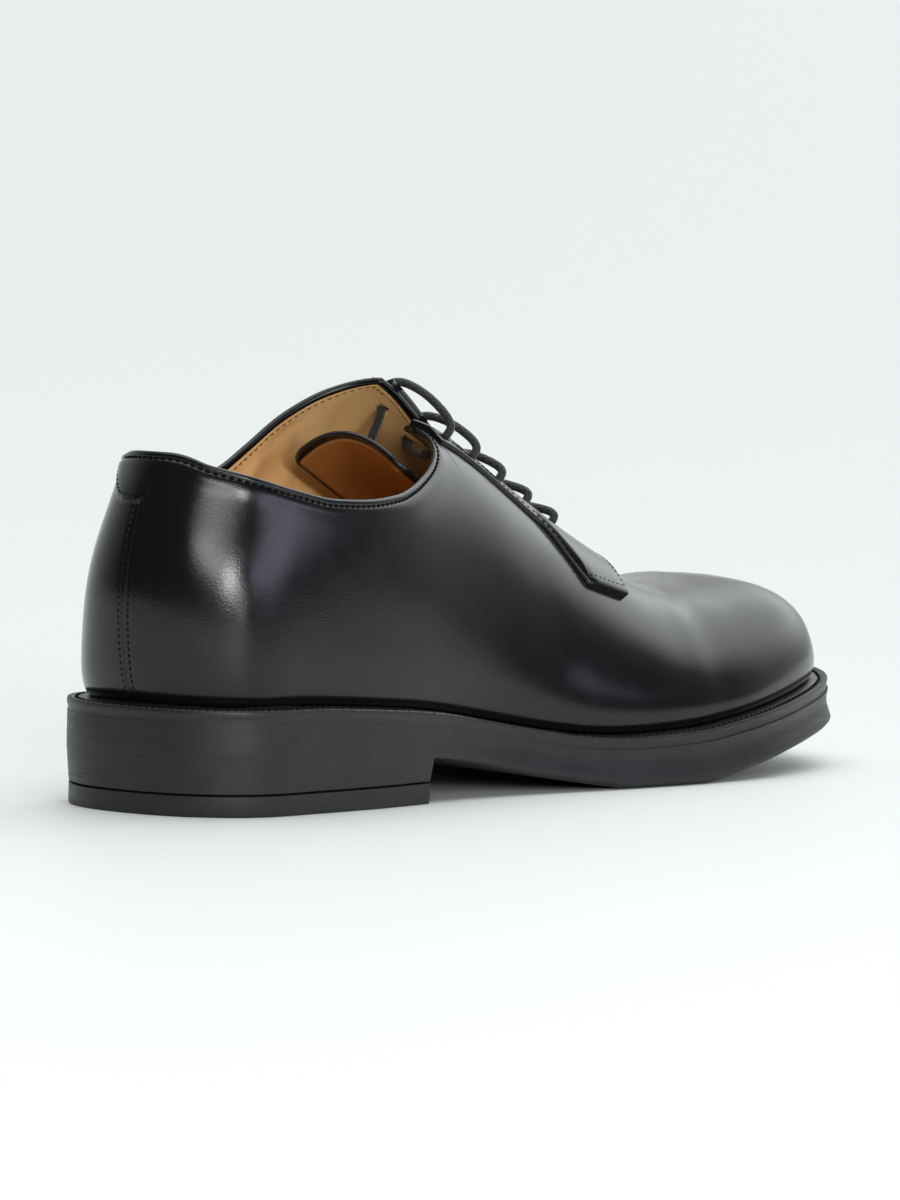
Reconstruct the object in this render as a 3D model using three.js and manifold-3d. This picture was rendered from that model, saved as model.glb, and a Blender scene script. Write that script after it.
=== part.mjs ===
// Right derby shoe: a wholecut upper with open lacing on a welted sole.
// Millimetres. Toe along +Y, outer side along +X, up +Z, origin on the floor under the heel's centre.
import * as THREE from 'three';
import { mergeVertices } from 'three/addons/utils/BufferGeometryUtils.js';
import Module from 'manifold-3d';

const wasm = await Module();
wasm.setup();

// Driving dimensions of the last and the sole
const soleLength = 300;
const heelReach = 38;
const ballWidth = 104;
const instepHeight = 106;
const seatHeight = 30;
const heelLength = 89.5;

// Thicknesses, edges and gaps
const upperWall = 2.2;
const facingThickness = 1.7;
const tongueThickness = 2.4;
const weltThickness = 3.6;
const weltRibWidth = 12;
const insoleThickness = 3;
const liftThickness = 6;
const featherMargin = 6.6;
const rollWidth = 3.4;
const rollRise = 1.2;
const soleFlare = 1.4;
const edgeRounding = 2.2;
const heelRounding = 0.4;
const heelTaper = 0.8;
const weltBead = 0.5;
const weltUndercut = 0.2;
const liftChamfer = 0.5;
const insoleLean = 0.6;
const flareRun = 60;
const gap = 0.3;

// Throat, facings and lacing
const throatEnd = 172;
const throatStart = 84;
const throatHalfWidth = 2.6;
const facingWidth = 17;
const facingSetback = 0.8;
const facingGap = 0.6;
const eyeletCount = 5;
const eyeletPitch = 12.6;
const firstEyelet = 93;
const eyeletInset = 8.5;
const eyeletRadius = 2;
const laceRadius = 1.25;
const laceRise = 4.5;
const throatRound = 5;
const cornerReach = 12;

// Tongue
const tongueHalfWidth = 30;
const tongueDrop = 10;
const tongueGap = 2.1;

// Fineness of the meshes
const stationsPerRow = 3;
const upperSteps = 11;
const facingColumns = 7;
const tongueColumns = 5;
const heelSteps = 14;
const eyeletSides = 12;
const laceSteps = 12;
const topCrowding = 1.25;

const breastPlace = heelLength - heelReach;

// A table with named columns: each row becomes an object
function table(columns, rows) {
  const names = columns.split(' ');
  return rows.map(row => Object.fromEntries(names.map((name, i) => [name, row[i]])));
}

// Smooth curve through (place, value) pairs that never overshoots
function profile(places, values) {
  const steps = places.slice(1).map((place, i) => place - places[i]);
  const slopes = steps.map((step, i) => (values[i + 1] - values[i]) / step);
  const tangents = values.map((_, i) => {
    if (i === 0 || i === values.length - 1) return slopes[Math.min(i, slopes.length - 1)];
    const before = slopes[i - 1];
    const after = slopes[i];
    return before * after <= 0 ? 0 : 2 * before * after / (before + after);
  });
  return place => {
    const at = Math.min(Math.max(place, places[0]), places[places.length - 1]);
    let i = 0;
    while (i < steps.length - 1 && at > places[i + 1]) i += 1;
    const t = (at - places[i]) / steps[i];
    const rise = values[i + 1] - values[i];
    const first = tangents[i] * steps[i];
    const last = tangents[i + 1] * steps[i];
    return values[i] + t * (first + t * (3 * rise - 2 * first - last + t * (first + last - 2 * rise)));
  };
}

// Heights of the sole along its length: place as a share of soleLength from the heel's centre,
// heights as shares of seatHeight
const soleTable = table('place weltUp bottomUp', [
  [-0.13, 1.00, 0.55],
  [0.00, 0.985, 0.52],
  [0.10, 0.93, 0.48],
  [0.18, 0.86, 0.43],
  [0.25, 0.755, 0.33],
  [0.33, 0.635, 0.19],
  [0.42, 0.525, 0.065],
  [0.485, 0.495, 0.00],
  [0.58, 0.52, 0.00],
  [0.65, 0.60, 0.10],
  [0.73, 0.71, 0.24],
  [0.81, 0.83, 0.37],
  [0.88, 0.95, 0.48],
]);
const solePlaces = soleTable.map(row => row.place * soleLength);
const weltProfile = profile(solePlaces, soleTable.map(row => row.weltUp * seatHeight));
const bottomProfile = profile(solePlaces, soleTable.map(row => row.bottomUp * seatHeight));

// The tread line of the ball runs slanted, further back on the outer side
const slantStart = 0.2 * soleLength;
const slantFull = 0.5 * soleLength;
const ballSlant = 0.25;
function slanted(x, y) {
  const t = Math.min(Math.max((y - slantStart) / (slantFull - slantStart), 0), 1);
  return y + ballSlant * t * t * (3 - 2 * t) * x;
}
const weltTop = (x, y) => weltProfile(slanted(x, y));
const soleBottom = (x, y) => bottomProfile(slanted(x, y));

// Sections around the last. The heel and toe rows fan out by an angle from their own axis,
// the others stand across at a share of soleLength. centre is a share of ballWidth.
const toePlace = 0.73;
const spine = table('zone place centre', [
  ['heel', 0, 0.00],
  ['heel', 30, 0.00],
  ['heel', 60, 0.00],
  ['heel', 90, 0.00],
  ['across', 0.10, 0.00],
  ['across', 0.20, -0.02],
  ['across', 0.30, -0.04],
  ['across', 0.40, -0.05],
  ['across', 0.50, -0.05],
  ['across', 0.58, -0.05],
  ['across', 0.65, -0.05],
  ['toe', 90, -0.05],
  ['toe', 60, -0.05],
  ['toe', 30, -0.05],
  ['toe', 0, -0.05],
]);

// Half sections: edge is the sole's edge; low, high, crown and top are control points of the upper.
// Reaches are shares of ballWidth from the centre, ridge the height of the top as a share of
// instepHeight, and the Up columns shares of the way from the seat to that ridge.
const sideColumns = 'ridge edge low lowUp high highUp crown crownUp top';
const outerSide = table(sideColumns, [
  [1.06, 0.365, 0.371, 0.23, 0.363, 0.50, 0.297, 0.73, 0.222],
  [1.06, 0.378, 0.366, 0.23, 0.353, 0.50, 0.291, 0.73, 0.232],
  [1.07, 0.381, 0.350, 0.23, 0.335, 0.50, 0.285, 0.73, 0.260],
  [1.09, 0.367, 0.338, 0.23, 0.325, 0.50, 0.285, 0.76, 0.245],
  [1.12, 0.387, 0.352, 0.22, 0.345, 0.48, 0.300, 0.78, 0.170],
  [1.07, 0.400, 0.368, 0.22, 0.350, 0.50, 0.245, 0.88, 0.000],
  [0.965, 0.424, 0.395, 0.22, 0.335, 0.62, 0.180, 1.00, 0.000],
  [0.81, 0.484, 0.445, 0.22, 0.355, 0.64, 0.180, 1.00, 0.000],
  [0.655, 0.533, 0.495, 0.24, 0.390, 0.64, 0.180, 1.00, 0.000],
  [0.548, 0.551, 0.515, 0.28, 0.400, 0.70, 0.190, 1.00, 0.000],
  [0.508, 0.545, 0.508, 0.33, 0.400, 0.80, 0.200, 1.00, 0.000],
  [0.521, 0.494, 0.457, 0.40, 0.375, 0.85, 0.190, 1.00, 0.000],
  [0.521, 0.452, 0.413, 0.40, 0.336, 0.85, 0.170, 1.00, 0.000],
  [0.521, 0.417, 0.377, 0.40, 0.300, 0.83, 0.150, 1.00, 0.000],
  [0.521, 0.413, 0.373, 0.40, 0.290, 0.83, 0.150, 1.00, 0.000],
]);
const innerSide = table(sideColumns, [
  [1.06, 0.365, 0.371, 0.23, 0.363, 0.50, 0.297, 0.73, 0.222],
  [1.06, 0.378, 0.361, 0.23, 0.345, 0.50, 0.270, 0.73, 0.210],
  [1.07, 0.381, 0.339, 0.23, 0.322, 0.50, 0.250, 0.73, 0.205],
  [1.09, 0.362, 0.325, 0.23, 0.315, 0.50, 0.262, 0.76, 0.215],
  [1.14, 0.352, 0.322, 0.22, 0.325, 0.50, 0.290, 0.82, 0.190],
  [1.17, 0.322, 0.300, 0.22, 0.315, 0.52, 0.265, 0.90, 0.000],
  [1.065, 0.290, 0.275, 0.22, 0.295, 0.62, 0.200, 1.00, 0.000],
  [0.835, 0.306, 0.285, 0.22, 0.290, 0.64, 0.180, 1.00, 0.000],
  [0.655, 0.383, 0.355, 0.24, 0.315, 0.64, 0.165, 1.00, 0.000],
  [0.548, 0.440, 0.405, 0.28, 0.335, 0.72, 0.180, 1.00, 0.000],
  [0.508, 0.452, 0.415, 0.33, 0.345, 0.80, 0.180, 1.00, 0.000],
  [0.521, 0.423, 0.385, 0.40, 0.325, 0.85, 0.170, 1.00, 0.000],
  [0.521, 0.393, 0.355, 0.40, 0.300, 0.85, 0.160, 1.00, 0.000],
  [0.521, 0.400, 0.360, 0.40, 0.290, 0.83, 0.150, 1.00, 0.000],
  [0.521, 0.413, 0.373, 0.40, 0.290, 0.83, 0.150, 1.00, 0.000],
]);

// Collar line in side view: place as a share of soleLength, height as a share of instepHeight
const outerCollar = table('place up', [
  [-0.125, 0.950], [-0.09, 0.945], [-0.075, 0.915], [-0.05, 0.889], [0.00, 0.850], [0.05, 0.822],
  [0.10, 0.816], [0.15, 0.824], [0.18, 0.839], [0.21, 0.862], [0.24, 0.892], [0.265, 0.928],
  [0.285, 0.972], [0.303, 1.07],
]);
const innerCollar = table('place up', [
  [-0.125, 0.950], [-0.09, 0.945], [-0.05, 0.915], [0.00, 0.875], [0.05, 0.85], [0.10, 0.845],
  [0.13, 0.868], [0.167, 0.930], [0.205, 1.014], [0.245, 1.078], [0.28, 1.108], [0.30, 1.09],
  [0.32, 1.03],
]);

// Control points of every half section, going round from the back over the outer side to the toe
// and home over the inner side
function sectionPoints(spineRow, side, sign) {
  const centre = spineRow.centre * ballWidth;
  const toeY = toePlace * soleLength;
  const angle = THREE.MathUtils.degToRad(spineRow.place);
  const isHeel = spineRow.zone === 'heel';
  const isToe = spineRow.zone === 'toe';
  const origin = isHeel ? [0, 0] : isToe ? [centre, toeY] : [centre, spineRow.place * soleLength];
  const along = isHeel ? -Math.cos(angle) : isToe ? Math.cos(angle) : 0;
  const across = sign * (isHeel || isToe ? Math.sin(angle) : 1);
  const place = reach => [origin[0] + across * reach, origin[1] + along * reach];
  const edge = place(side.edge * ballWidth);
  const feather = side.edge * ballWidth - featherMargin;
  const seat = weltTop(...place(feather)) + gap;
  const ridge = side.ridge * instepHeight;
  const at = (reach, share) => [...place(reach), seat + (ridge - seat) * share];
  return {
    edge,
    net: [
      at(feather, 0),
      [...place(feather + rollWidth), seat + rollRise],
      at(side.low * ballWidth, side.lowUp),
      at(side.high * ballWidth, side.highUp),
      at(side.crown * ballWidth, side.crownUp),
      at(side.top * ballWidth, 1),
    ],
  };
}
const last = spine.length - 1;
const loop = [
  ...spine.map((row, i) => sectionPoints(row, outerSide[i], 1)),
  ...spine.slice(1, last).map((row, i) => sectionPoints(row, innerSide[i + 1], -1)).reverse(),
];

// Closed smooth curve through points at whole parameters: a uniform cubic B-spline
// whose control points are relaxed until it passes through them
function closedSpline(points) {
  const count = points.length;
  const wrap = i => (i + count) % count;
  let control = points.map(point => [...point]);
  for (let pass = 0; pass < 24; pass += 1) {
    control = control.map((point, i) => point.map((value, k) => value + points[i][k]
      - (control[wrap(i - 1)][k] + 4 * value + control[wrap(i + 1)][k]) / 6));
  }
  return u => {
    const start = Math.floor(u);
    const t = u - start;
    const s = 1 - t;
    const weights = [s * s * s, 3 * t * t * t - 6 * t * t + 4, 3 * s * s * s - 6 * s * s + 4, t * t * t];
    return points[0].map((_, k) => weights.reduce(
      (sum, weight, i) => sum + weight * control[wrap(start - 1 + i)][k] / 6, 0));
  };
}
const roundCurves = loop[0].net.map((_, k) => closedSpline(loop.map(section => section.net[k])));
const edgeCurve = closedSpline(loop.map(section => section.edge));
const rowCount = loop.length;
const toeStart = spine.findIndex(row => row.zone === 'toe');
const pole = loop[last].net[5];
const inToeFan = u => u >= toeStart && u <= rowCount - toeStart;
const sectionNet = u => roundCurves.map((curve, k) => (k === 5 && inToeFan(u) ? pole : curve(u)));

// Clamped cubic B-spline over a section's six control points
const knots = [0, 0, 0, 0, 1, 2, 3, 3, 3, 3];
function clampedPoint(control, t) {
  const at = Math.min(Math.max(t, 0), 1) * 3;
  const span = 3 + Math.min(Math.floor(at), 2);
  const work = [0, 1, 2, 3].map(i => control[span - 3 + i]);
  for (let level = 1; level <= 3; level += 1) {
    for (let i = 3; i >= level; i -= 1) {
      const from = knots[span - 3 + i];
      const share = (at - from) / (knots[i + 1 + span - level] - from);
      work[i] = work[i].map((value, k) => (1 - share) * work[i - 1][k] + share * value);
    }
  }
  return new THREE.Vector3(...work[3]);
}
const surface = (u, t) => clampedPoint(sectionNet(u), t);

// Outward normal of the last's surface; near the toe's crown the sections meet and it points up
const crownShare = 0.97;
function surfaceNormal(u, t) {
  if (inToeFan(u) && t > crownShare) return new THREE.Vector3(0, 0, 1);
  const step = 0.01;
  const low = Math.max(t - step, 0);
  const high = Math.min(t + step, 1);
  const round = surface(u + step, t).sub(surface(u - step, t));
  const rise = surface(u, high).sub(surface(u, low));
  return round.cross(rise).normalize();
}

// Where a test that starts true turns false, between two ends, by halving
function crossing(from, to, isBefore) {
  let [low, high] = [from, to];
  for (let pass = 0; pass < 40; pass += 1) {
    const middle = (low + high) / 2;
    if (isBefore(middle)) low = middle;
    else high = middle;
  }
  return low;
}

// The station whose section stands at a given place along the shoe, on one side
const heelEnd = spine.findLastIndex(row => row.zone === 'heel');
function stationAt(y, sign) {
  const nearTop = 0.9;
  const u = crossing(heelEnd, toeStart, at => surface(at, nearTop).y < y);
  return sign > 0 ? u : rowCount - u;
}

// The cut line: above the collar, or inside the throat's slot
const lineOf = rows => profile(rows.map(r => r.place * soleLength), rows.map(r => r.up * instepHeight));
const collarLines = { outer: lineOf(outerCollar), inner: lineOf(innerCollar) };
const centreLine = profile(
  spine.filter(row => row.zone === 'across').map(row => row.place * soleLength),
  spine.filter(row => row.zone === 'across').map(row => row.centre * ballWidth));
const isOuter = u => u <= rowCount / 2;
function throatHalf(y) {
  if (y >= throatEnd) return 0;
  return throatHalfWidth * Math.min(1, Math.sqrt((throatEnd - y) / throatRound));
}
function isCutAway(u, point) {
  const collar = isOuter(u) ? collarLines.outer : collarLines.inner;
  if (point.y < throatStart + cornerReach && point.z > collar(point.y)) return true;
  return point.y > throatStart - cornerReach
    && Math.abs(point.x - centreLine(point.y)) < throatHalf(point.y);
}
function topShare(u) {
  if (surface(u, 1).y >= throatEnd - 1e-6) return 1;
  const isKept = t => !isCutAway(u, surface(u, t));
  const scan = 0.02;
  let t = 0.4;
  while (t < 1 && isKept(t)) t += scan;
  return crossing(t - scan, Math.min(t, 1), isKept);
}

// Mesh helpers: quads into one closed geometry, and manifold solids for cuts
function solidFrom(points, quads) {
  const positions = points.flatMap(point => [point.x, point.y, point.z]);
  const index = quads.flatMap(([a, b, c, d]) => [a, b, c, a, c, d]);
  const geometry = new THREE.BufferGeometry();
  geometry.setAttribute('position', new THREE.Float32BufferAttribute(positions, 3));
  geometry.setIndex(index);
  return cleaned(geometry);
}
function cleaned(geometry) {
  geometry.deleteAttribute('normal');
  geometry.deleteAttribute('uv');
  const merged = mergeVertices(geometry, 1e-3);
  const index = merged.index.array;
  const kept = [];
  for (let i = 0; i < index.length; i += 3) {
    const [a, b, c] = [index[i], index[i + 1], index[i + 2]];
    if (a !== b && b !== c && a !== c) kept.push(a, b, c);
  }
  merged.setIndex(kept);
  return merged;
}
function toManifold(geometry) {
  const merged = cleaned(geometry.clone());
  return new wasm.Manifold(new wasm.Mesh({
    numProp: 3,
    vertProperties: new Float32Array(merged.attributes.position.array),
    triVerts: new Uint32Array(merged.index.array),
  }));
}
function fromManifold(solid) {
  const mesh = solid.getMesh();
  const geometry = new THREE.BufferGeometry();
  geometry.setAttribute('position', new THREE.Float32BufferAttribute(mesh.vertProperties, 3));
  geometry.setIndex([...mesh.triVerts]);
  return geometry;
}
const without = (body, cutters) => fromManifold(
  cutters.reduce((solid, cutter) => solid.subtract(toManifold(cutter)), toManifold(body)));

// Upper: the last's surface up to the cut line, with its wall inward
const evenStations = Array.from({ length: rowCount * stationsPerRow }, (_, i) => i / stationsPerRow);
const outerCorners = [stationAt(throatStart, 1), stationAt(throatEnd, 1)];
const corners = [...outerCorners, ...outerCorners.map(u => rowCount - u)];
const leastStep = 0.12;
const upperStations = [
  ...evenStations.filter(u => corners.every(corner => Math.abs(corner - u) >= leastStep)),
  ...corners,
].sort((a, b) => a - b);
function wallPoint(u, t, depth) {
  const inward = surfaceNormal(u, t).negate();
  if (t === 0) inward.setZ(0).normalize();
  return surface(u, t).addScaledVector(inward, depth);
}
function upperColumn(u) {
  const top = topShare(u);
  const shares = Array.from({ length: upperSteps + 1 }, (_, j) => top * (j / upperSteps) ** topCrowding);
  return {
    closed: top === 1,
    outside: shares.map(t => surface(u, t)),
    inside: shares.map(t => wallPoint(u, t, upperWall)),
  };
}
function upperShell() {
  const columns = upperStations.map(upperColumn);
  const count = columns.length;
  const mirrored = i => (count - i) % count;
  columns.forEach((column, i) => {
    const twin = columns[mirrored(i)];
    if (!column.closed || i > mirrored(i)) return;
    for (const side of ['outside', 'inside']) {
      const middle = column[side][upperSteps].clone().lerp(twin[side][upperSteps], 0.5);
      column[side][upperSteps] = middle;
      twin[side][upperSteps] = middle.clone();
    }
  });
  const points = columns.flatMap(column => [...column.outside, ...column.inside]);
  const stride = 2 * (upperSteps + 1);
  const outside = (i, j) => (i % count) * stride + j;
  const inside = (i, j) => outside(i, j) + upperSteps + 1;
  const quads = [];
  columns.forEach((column, i) => {
    const next = columns[(i + 1) % count];
    for (let j = 0; j < upperSteps; j += 1) {
      quads.push([outside(i, j), outside(i + 1, j), outside(i + 1, j + 1), outside(i, j + 1)]);
      quads.push([inside(i, j), inside(i, j + 1), inside(i + 1, j + 1), inside(i + 1, j)]);
    }
    quads.push([outside(i, 0), inside(i, 0), inside(i + 1, 0), outside(i + 1, 0)]);
    if (column.closed && next.closed) return;
    const top = upperSteps;
    quads.push([outside(i, top), outside(i + 1, top), inside(i + 1, top), inside(i, top)]);
  });
  return solidFrom(points, quads);
}

// A sheet over the last: rows of points along, each with columns across, given a thickness
function sheet(lower, upper) {
  const rows = lower.length;
  const columns = lower[0].length;
  const points = [...lower.flat(), ...upper.flat()];
  const low = (i, j) => i * columns + j;
  const high = (i, j) => rows * columns + low(i, j);
  const quads = [];
  for (let i = 0; i < rows - 1; i += 1) {
    for (let j = 0; j < columns - 1; j += 1) {
      quads.push([high(i, j), high(i + 1, j), high(i + 1, j + 1), high(i, j + 1)]);
      quads.push([low(i, j), low(i, j + 1), low(i + 1, j + 1), low(i + 1, j)]);
    }
    quads.push([low(i, 0), low(i + 1, 0), high(i + 1, 0), high(i, 0)]);
    const edge = columns - 1;
    quads.push([low(i, edge), high(i, edge), high(i + 1, edge), low(i + 1, edge)]);
  }
  for (let j = 0; j < columns - 1; j += 1) {
    quads.push([low(0, j), high(0, j), high(0, j + 1), low(0, j + 1)]);
    const end = rows - 1;
    quads.push([low(end, j), low(end, j + 1), high(end, j + 1), high(end, j)]);
  }
  return solidFrom(points, quads);
}

// Share of a section that lies a given distance down from its cut line
function shareBelow(u, from, distance) {
  const step = 0.004;
  let walked = 0;
  let t = from;
  let point = surface(u, t);
  while (walked < distance && t > 0) {
    const next = surface(u, t - step);
    walked += next.distanceTo(point);
    point = next;
    t -= step;
  }
  return t;
}

// Facings: strips along the throat that widen into a square tab over the vamp.
// place is a share of soleLength, reach a share of facingWidth from the throat's edge.
const facingTable = table('place reach', [
  [0.29, 0.80], [0.32, 0.86], [0.36, 0.93], [0.395, 1.04], [0.418, 1.27], [0.430, 1.82], [0.4365, 2.09], [0.443, 2.35],
  [0.456, 2.32], [0.47, 2.28], [0.485, 2.25], [0.499, 2.22], [0.5035, 1.97], [0.508, 1.72], [0.518, 1.26], [0.53, 0.90], [0.548, 0.50], [0.562, 0.16],
]);
function facing(sign) {
  const layer = depth => facingTable.map(row => {
    const u = stationAt(row.place * soleLength, sign);
    const top = topShare(u);
    return Array.from({ length: facingColumns + 1 }, (_, j) => {
      const width = facingSetback + (row.reach * facingWidth - facingSetback) * j / facingColumns;
      const t = shareBelow(u, top, width);
      return surface(u, t).addScaledVector(surfaceNormal(u, t), depth);
    });
  });
  const low = layer(facingGap);
  const high = layer(facingGap + facingThickness);
  return sign < 0 ? sheet(low, high) : sheet(low.map(row => row.reverse()), high.map(row => row.reverse()));
}

// Eyelets: holes through upper and facing, square to the leather
function eyelet(index, sign) {
  const u = stationAt(firstEyelet + index * eyeletPitch, sign);
  const t = shareBelow(u, topShare(u), eyeletInset);
  return { at: surface(u, t), normal: surfaceNormal(u, t) };
}
function eyeletCutter({ at, normal }) {
  const length = 4 * (upperWall + facingThickness);
  const cutter = new THREE.CylinderGeometry(eyeletRadius, eyeletRadius, length, eyeletSides);
  cutter.applyQuaternion(new THREE.Quaternion().setFromUnitVectors(new THREE.Vector3(0, 1, 0), normal));
  return cutter.translate(at.x, at.y, at.z);
}
const eyelets = Array.from({ length: eyeletCount }, (_, i) => ({ outer: eyelet(i, 1), inner: eyelet(i, -1) }));
const outerCutters = eyelets.map(pair => eyeletCutter(pair.outer));
const innerCutters = eyelets.map(pair => eyeletCutter(pair.inner));

// Lace bars: a round cord out of one eyelet, over the throat and into the other
function laceBar({ outer, inner }) {
  const lift = (hole, height) => hole.at.clone().addScaledVector(hole.normal, height);
  const over = facingGap + facingThickness + laceRise;
  const shoulder = 0.75;
  const spread = 0.45;
  const middle = outer.at.clone().lerp(inner.at, 0.5);
  middle.z = Math.max(outer.at.z, inner.at.z) + over;
  const path = new THREE.CatmullRomCurve3([
    lift(inner, 0),
    lift(inner, over * shoulder),
    middle.clone().lerp(lift(inner, over), spread),
    middle.clone().lerp(lift(outer, over), spread),
    lift(outer, over * shoulder),
    lift(outer, 0),
  ]);
  const round = new THREE.Shape().absarc(0, 0, laceRadius, 0, 2 * Math.PI);
  return new THREE.ExtrudeGeometry(round, { steps: laceSteps, curveSegments: 4, extrudePath: path });
}

// Tongue: an arched sheet under the throat, its free end sunk below the collar.
// place is a share of soleLength, half its half width over the last, drop its depth below the
// throat's line, and arch how far its sides follow the last down.
const tongueTable = table('place half drop arch', [
  [0.205, 0.82, 0.66, 0.50], [0.208, 0.95, 0.67, 0.54], [0.215, 1.03, 0.70, 0.56],
  [0.24, 1.03, 0.82, 0.60], [0.28, 1.00, 0.95, 0.66], [0.313, 0.98, 0.92, 0.75], [0.34, 0.96, 0.75, 0.82],
  [0.367, 0.94, 0.51, 0.90], [0.40, 0.90, 0.25, 1.00], [0.45, 0.82, 0.08, 1.00],
  [0.50, 0.74, 0.00, 1.00], [0.56, 0.66, 0.00, 1.00], [0.61, 0.60, 0.00, 1.00],
]);
function tongue() {
  const layer = depth => tongueTable.map(row => {
    const u = stationAt(row.place * soleLength, 1);
    const under = (station, distance) => {
      const t = shareBelow(station, 1, distance);
      return surface(station, t).addScaledVector(surfaceNormal(station, t), -depth);
    };
    const top = under(u, 0).setX(centreLine(row.place * soleLength));
    const side = under(u, row.half * tongueHalfWidth);
    const innerSide = under(rowCount - u, row.half * tongueHalfWidth);
    return Array.from({ length: 2 * tongueColumns + 1 }, (_, j) => {
      const across = 1 - j / tongueColumns;
      const low = across < 0 ? Math.min(side.z, innerSide.z) : side.z;
      return new THREE.Vector3(
        top.x + across * (side.x - top.x),
        top.y + Math.abs(across) * (side.y - top.y),
        top.z + across * across * row.arch * (low - top.z) - row.drop * tongueDrop);
    });
  });
  const upperFace = upperWall + tongueGap;
  return sheet(layer(upperFace + tongueThickness), layer(upperFace));
}

// Sole pieces: rings round the edge curve, drawn in by an inset, stacked and capped
function edgeRing(stations, inset, height) {
  return stations.map(u => {
    const [x, y] = edgeCurve(u);
    const [beforeX, beforeY] = edgeCurve(u - 0.05);
    const [afterX, afterY] = edgeCurve(u + 0.05);
    const inward = new THREE.Vector2(beforeY - afterY, afterX - beforeX).normalize();
    const reach = typeof inset === 'function' ? inset(x, y) : inset;
    const place = [x + inward.x * reach, y + inward.y * reach];
    return new THREE.Vector3(...place, typeof height === 'function' ? height(...place) : height);
  });
}
function stack(rings, { capped = true, fold = rings[0].length } = {}) {
  const count = rings[0].length;
  const at = (ring, i) => (ring % rings.length) * count + (i + count) % count;
  const quads = [];
  const levels = capped ? rings.length - 1 : rings.length;
  for (let ring = 0; ring < levels; ring += 1) {
    for (let i = 0; i < count; i += 1) {
      quads.push([at(ring, i), at(ring, i + 1), at(ring + 1, i + 1), at(ring + 1, i)]);
    }
  }
  const top = rings.length - 1;
  for (let i = 0; capped && i < Math.floor(fold / 2); i += 1) {
    quads.push([at(0, i), at(0, fold - i), at(0, fold - i - 1), at(0, i + 1)]);
    quads.push([at(top, i), at(top, i + 1), at(top, fold - i - 1), at(top, fold - i)]);
  }
  return solidFrom(rings.flat(), quads);
}
const soleStations = Array.from({ length: rowCount * 3 }, (_, i) => i / 3);
const lowered = (height, drop) => (x, y) => height(x, y) - drop;

// Outsole: a slab that flares and rounds off past the heel, its middle raised to fill the seat
const bottomInset = 15;
function outsole() {
  const ringTop = weltThickness + gap;
  const pastBreast = y => THREE.MathUtils.smoothstep(y, breastPlace, breastPlace + flareRun);
  const flare = share => (x, y) => -soleFlare * share * pastBreast(y);
  const rounding = y => heelRounding + (edgeRounding - heelRounding) * pastBreast(y);
  const raised = share => (x, y) => soleBottom(x, y) + share * rounding(y);
  const waist = (x, y) => {
    const waistShare = 0.6;
    return soleBottom(x, y) + waistShare * (weltTop(x, y) - ringTop - soleBottom(x, y));
  };
  const shoulder = { out: 0.7, up: 0.4 };
  return stack([
    edgeRing(soleStations, 2 * bottomInset, soleBottom),
    edgeRing(soleStations, bottomInset, soleBottom),
    edgeRing(soleStations, (x, y) => rounding(y), soleBottom),
    edgeRing(soleStations, flare(shoulder.out), raised(shoulder.up)),
    edgeRing(soleStations, flare(1), raised(1)),
    edgeRing(soleStations, flare(0), waist),
    edgeRing(soleStations, 0, lowered(weltTop, ringTop)),
    edgeRing(soleStations, weltRibWidth + gap, lowered(weltTop, ringTop)),
    edgeRing(soleStations, weltRibWidth + gap, lowered(weltTop, gap)),
  ]);
}

// Welt: a ring all round the seat, its outer edge beaded
function welt() {
  const base = lowered(weltTop, weltThickness);
  const beadShare = 0.6;
  return stack([
    edgeRing(soleStations, weltRibWidth, base),
    edgeRing(soleStations, weltUndercut, base),
    edgeRing(soleStations, -weltBead, lowered(weltTop, beadShare * weltThickness)),
    edgeRing(soleStations, 0, lowered(weltTop, weltBead)),
    edgeRing(soleStations, weltBead, weltTop),
    edgeRing(soleStations, weltRibWidth, weltTop),
  ], { capped: false });
}

// Insole: inside the upper's wall, on the welt and the outsole's raised middle
function insole() {
  const inset = featherMargin + upperWall + 2 * gap;
  return stack([
    edgeRing(soleStations, inset, lowered(weltTop, -gap)),
    edgeRing(soleStations, inset - insoleLean, lowered(weltTop, -gap - insoleThickness)),
  ]);
}

// Heel: the rings' back stretch, closed by a straight breast
const breastStation = crossing(heelEnd, toeStart, u => edgeCurve(u)[1] < breastPlace);
function heelRing(inset, height) {
  const stations = Array.from(
    { length: 2 * heelSteps + 1 }, (_, i) => breastStation * (i - heelSteps) / heelSteps);
  const ring = edgeRing(stations.map(u => (u + rowCount) % rowCount), inset, height);
  for (const end of [ring[0], ring[2 * heelSteps]]) {
    end.y = breastPlace - Math.min(inset, heelTaper);
    if (typeof height === 'function') end.z = height(end.x, end.y);
  }
  return ring;
}
const heelSolid = rings => stack(rings, { fold: 2 * heelSteps });
const topLift = () => heelSolid([
  heelRing(heelTaper + liftChamfer, 0),
  heelRing(heelTaper, liftChamfer),
  heelRing(heelTaper, liftThickness),
]);
const heelStack = () => heelSolid([
  heelRing(heelTaper, liftThickness + gap),
  heelRing(0, lowered(soleBottom, gap + liftChamfer)),
  heelRing(0, lowered(soleBottom, gap)),
]);

// Materials
const leather = new THREE.MeshStandardMaterial({ color: 0x141416, roughness: 0.22, metalness: 0 });
const lining = new THREE.MeshStandardMaterial({ color: 0xb98a55, roughness: 0.6, metalness: 0 });
const rubber = new THREE.MeshStandardMaterial({ color: 0x1b1b1c, roughness: 0.55, metalness: 0 });
const cord = new THREE.MeshStandardMaterial({ color: 0x101011, roughness: 0.7, metalness: 0 });

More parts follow.
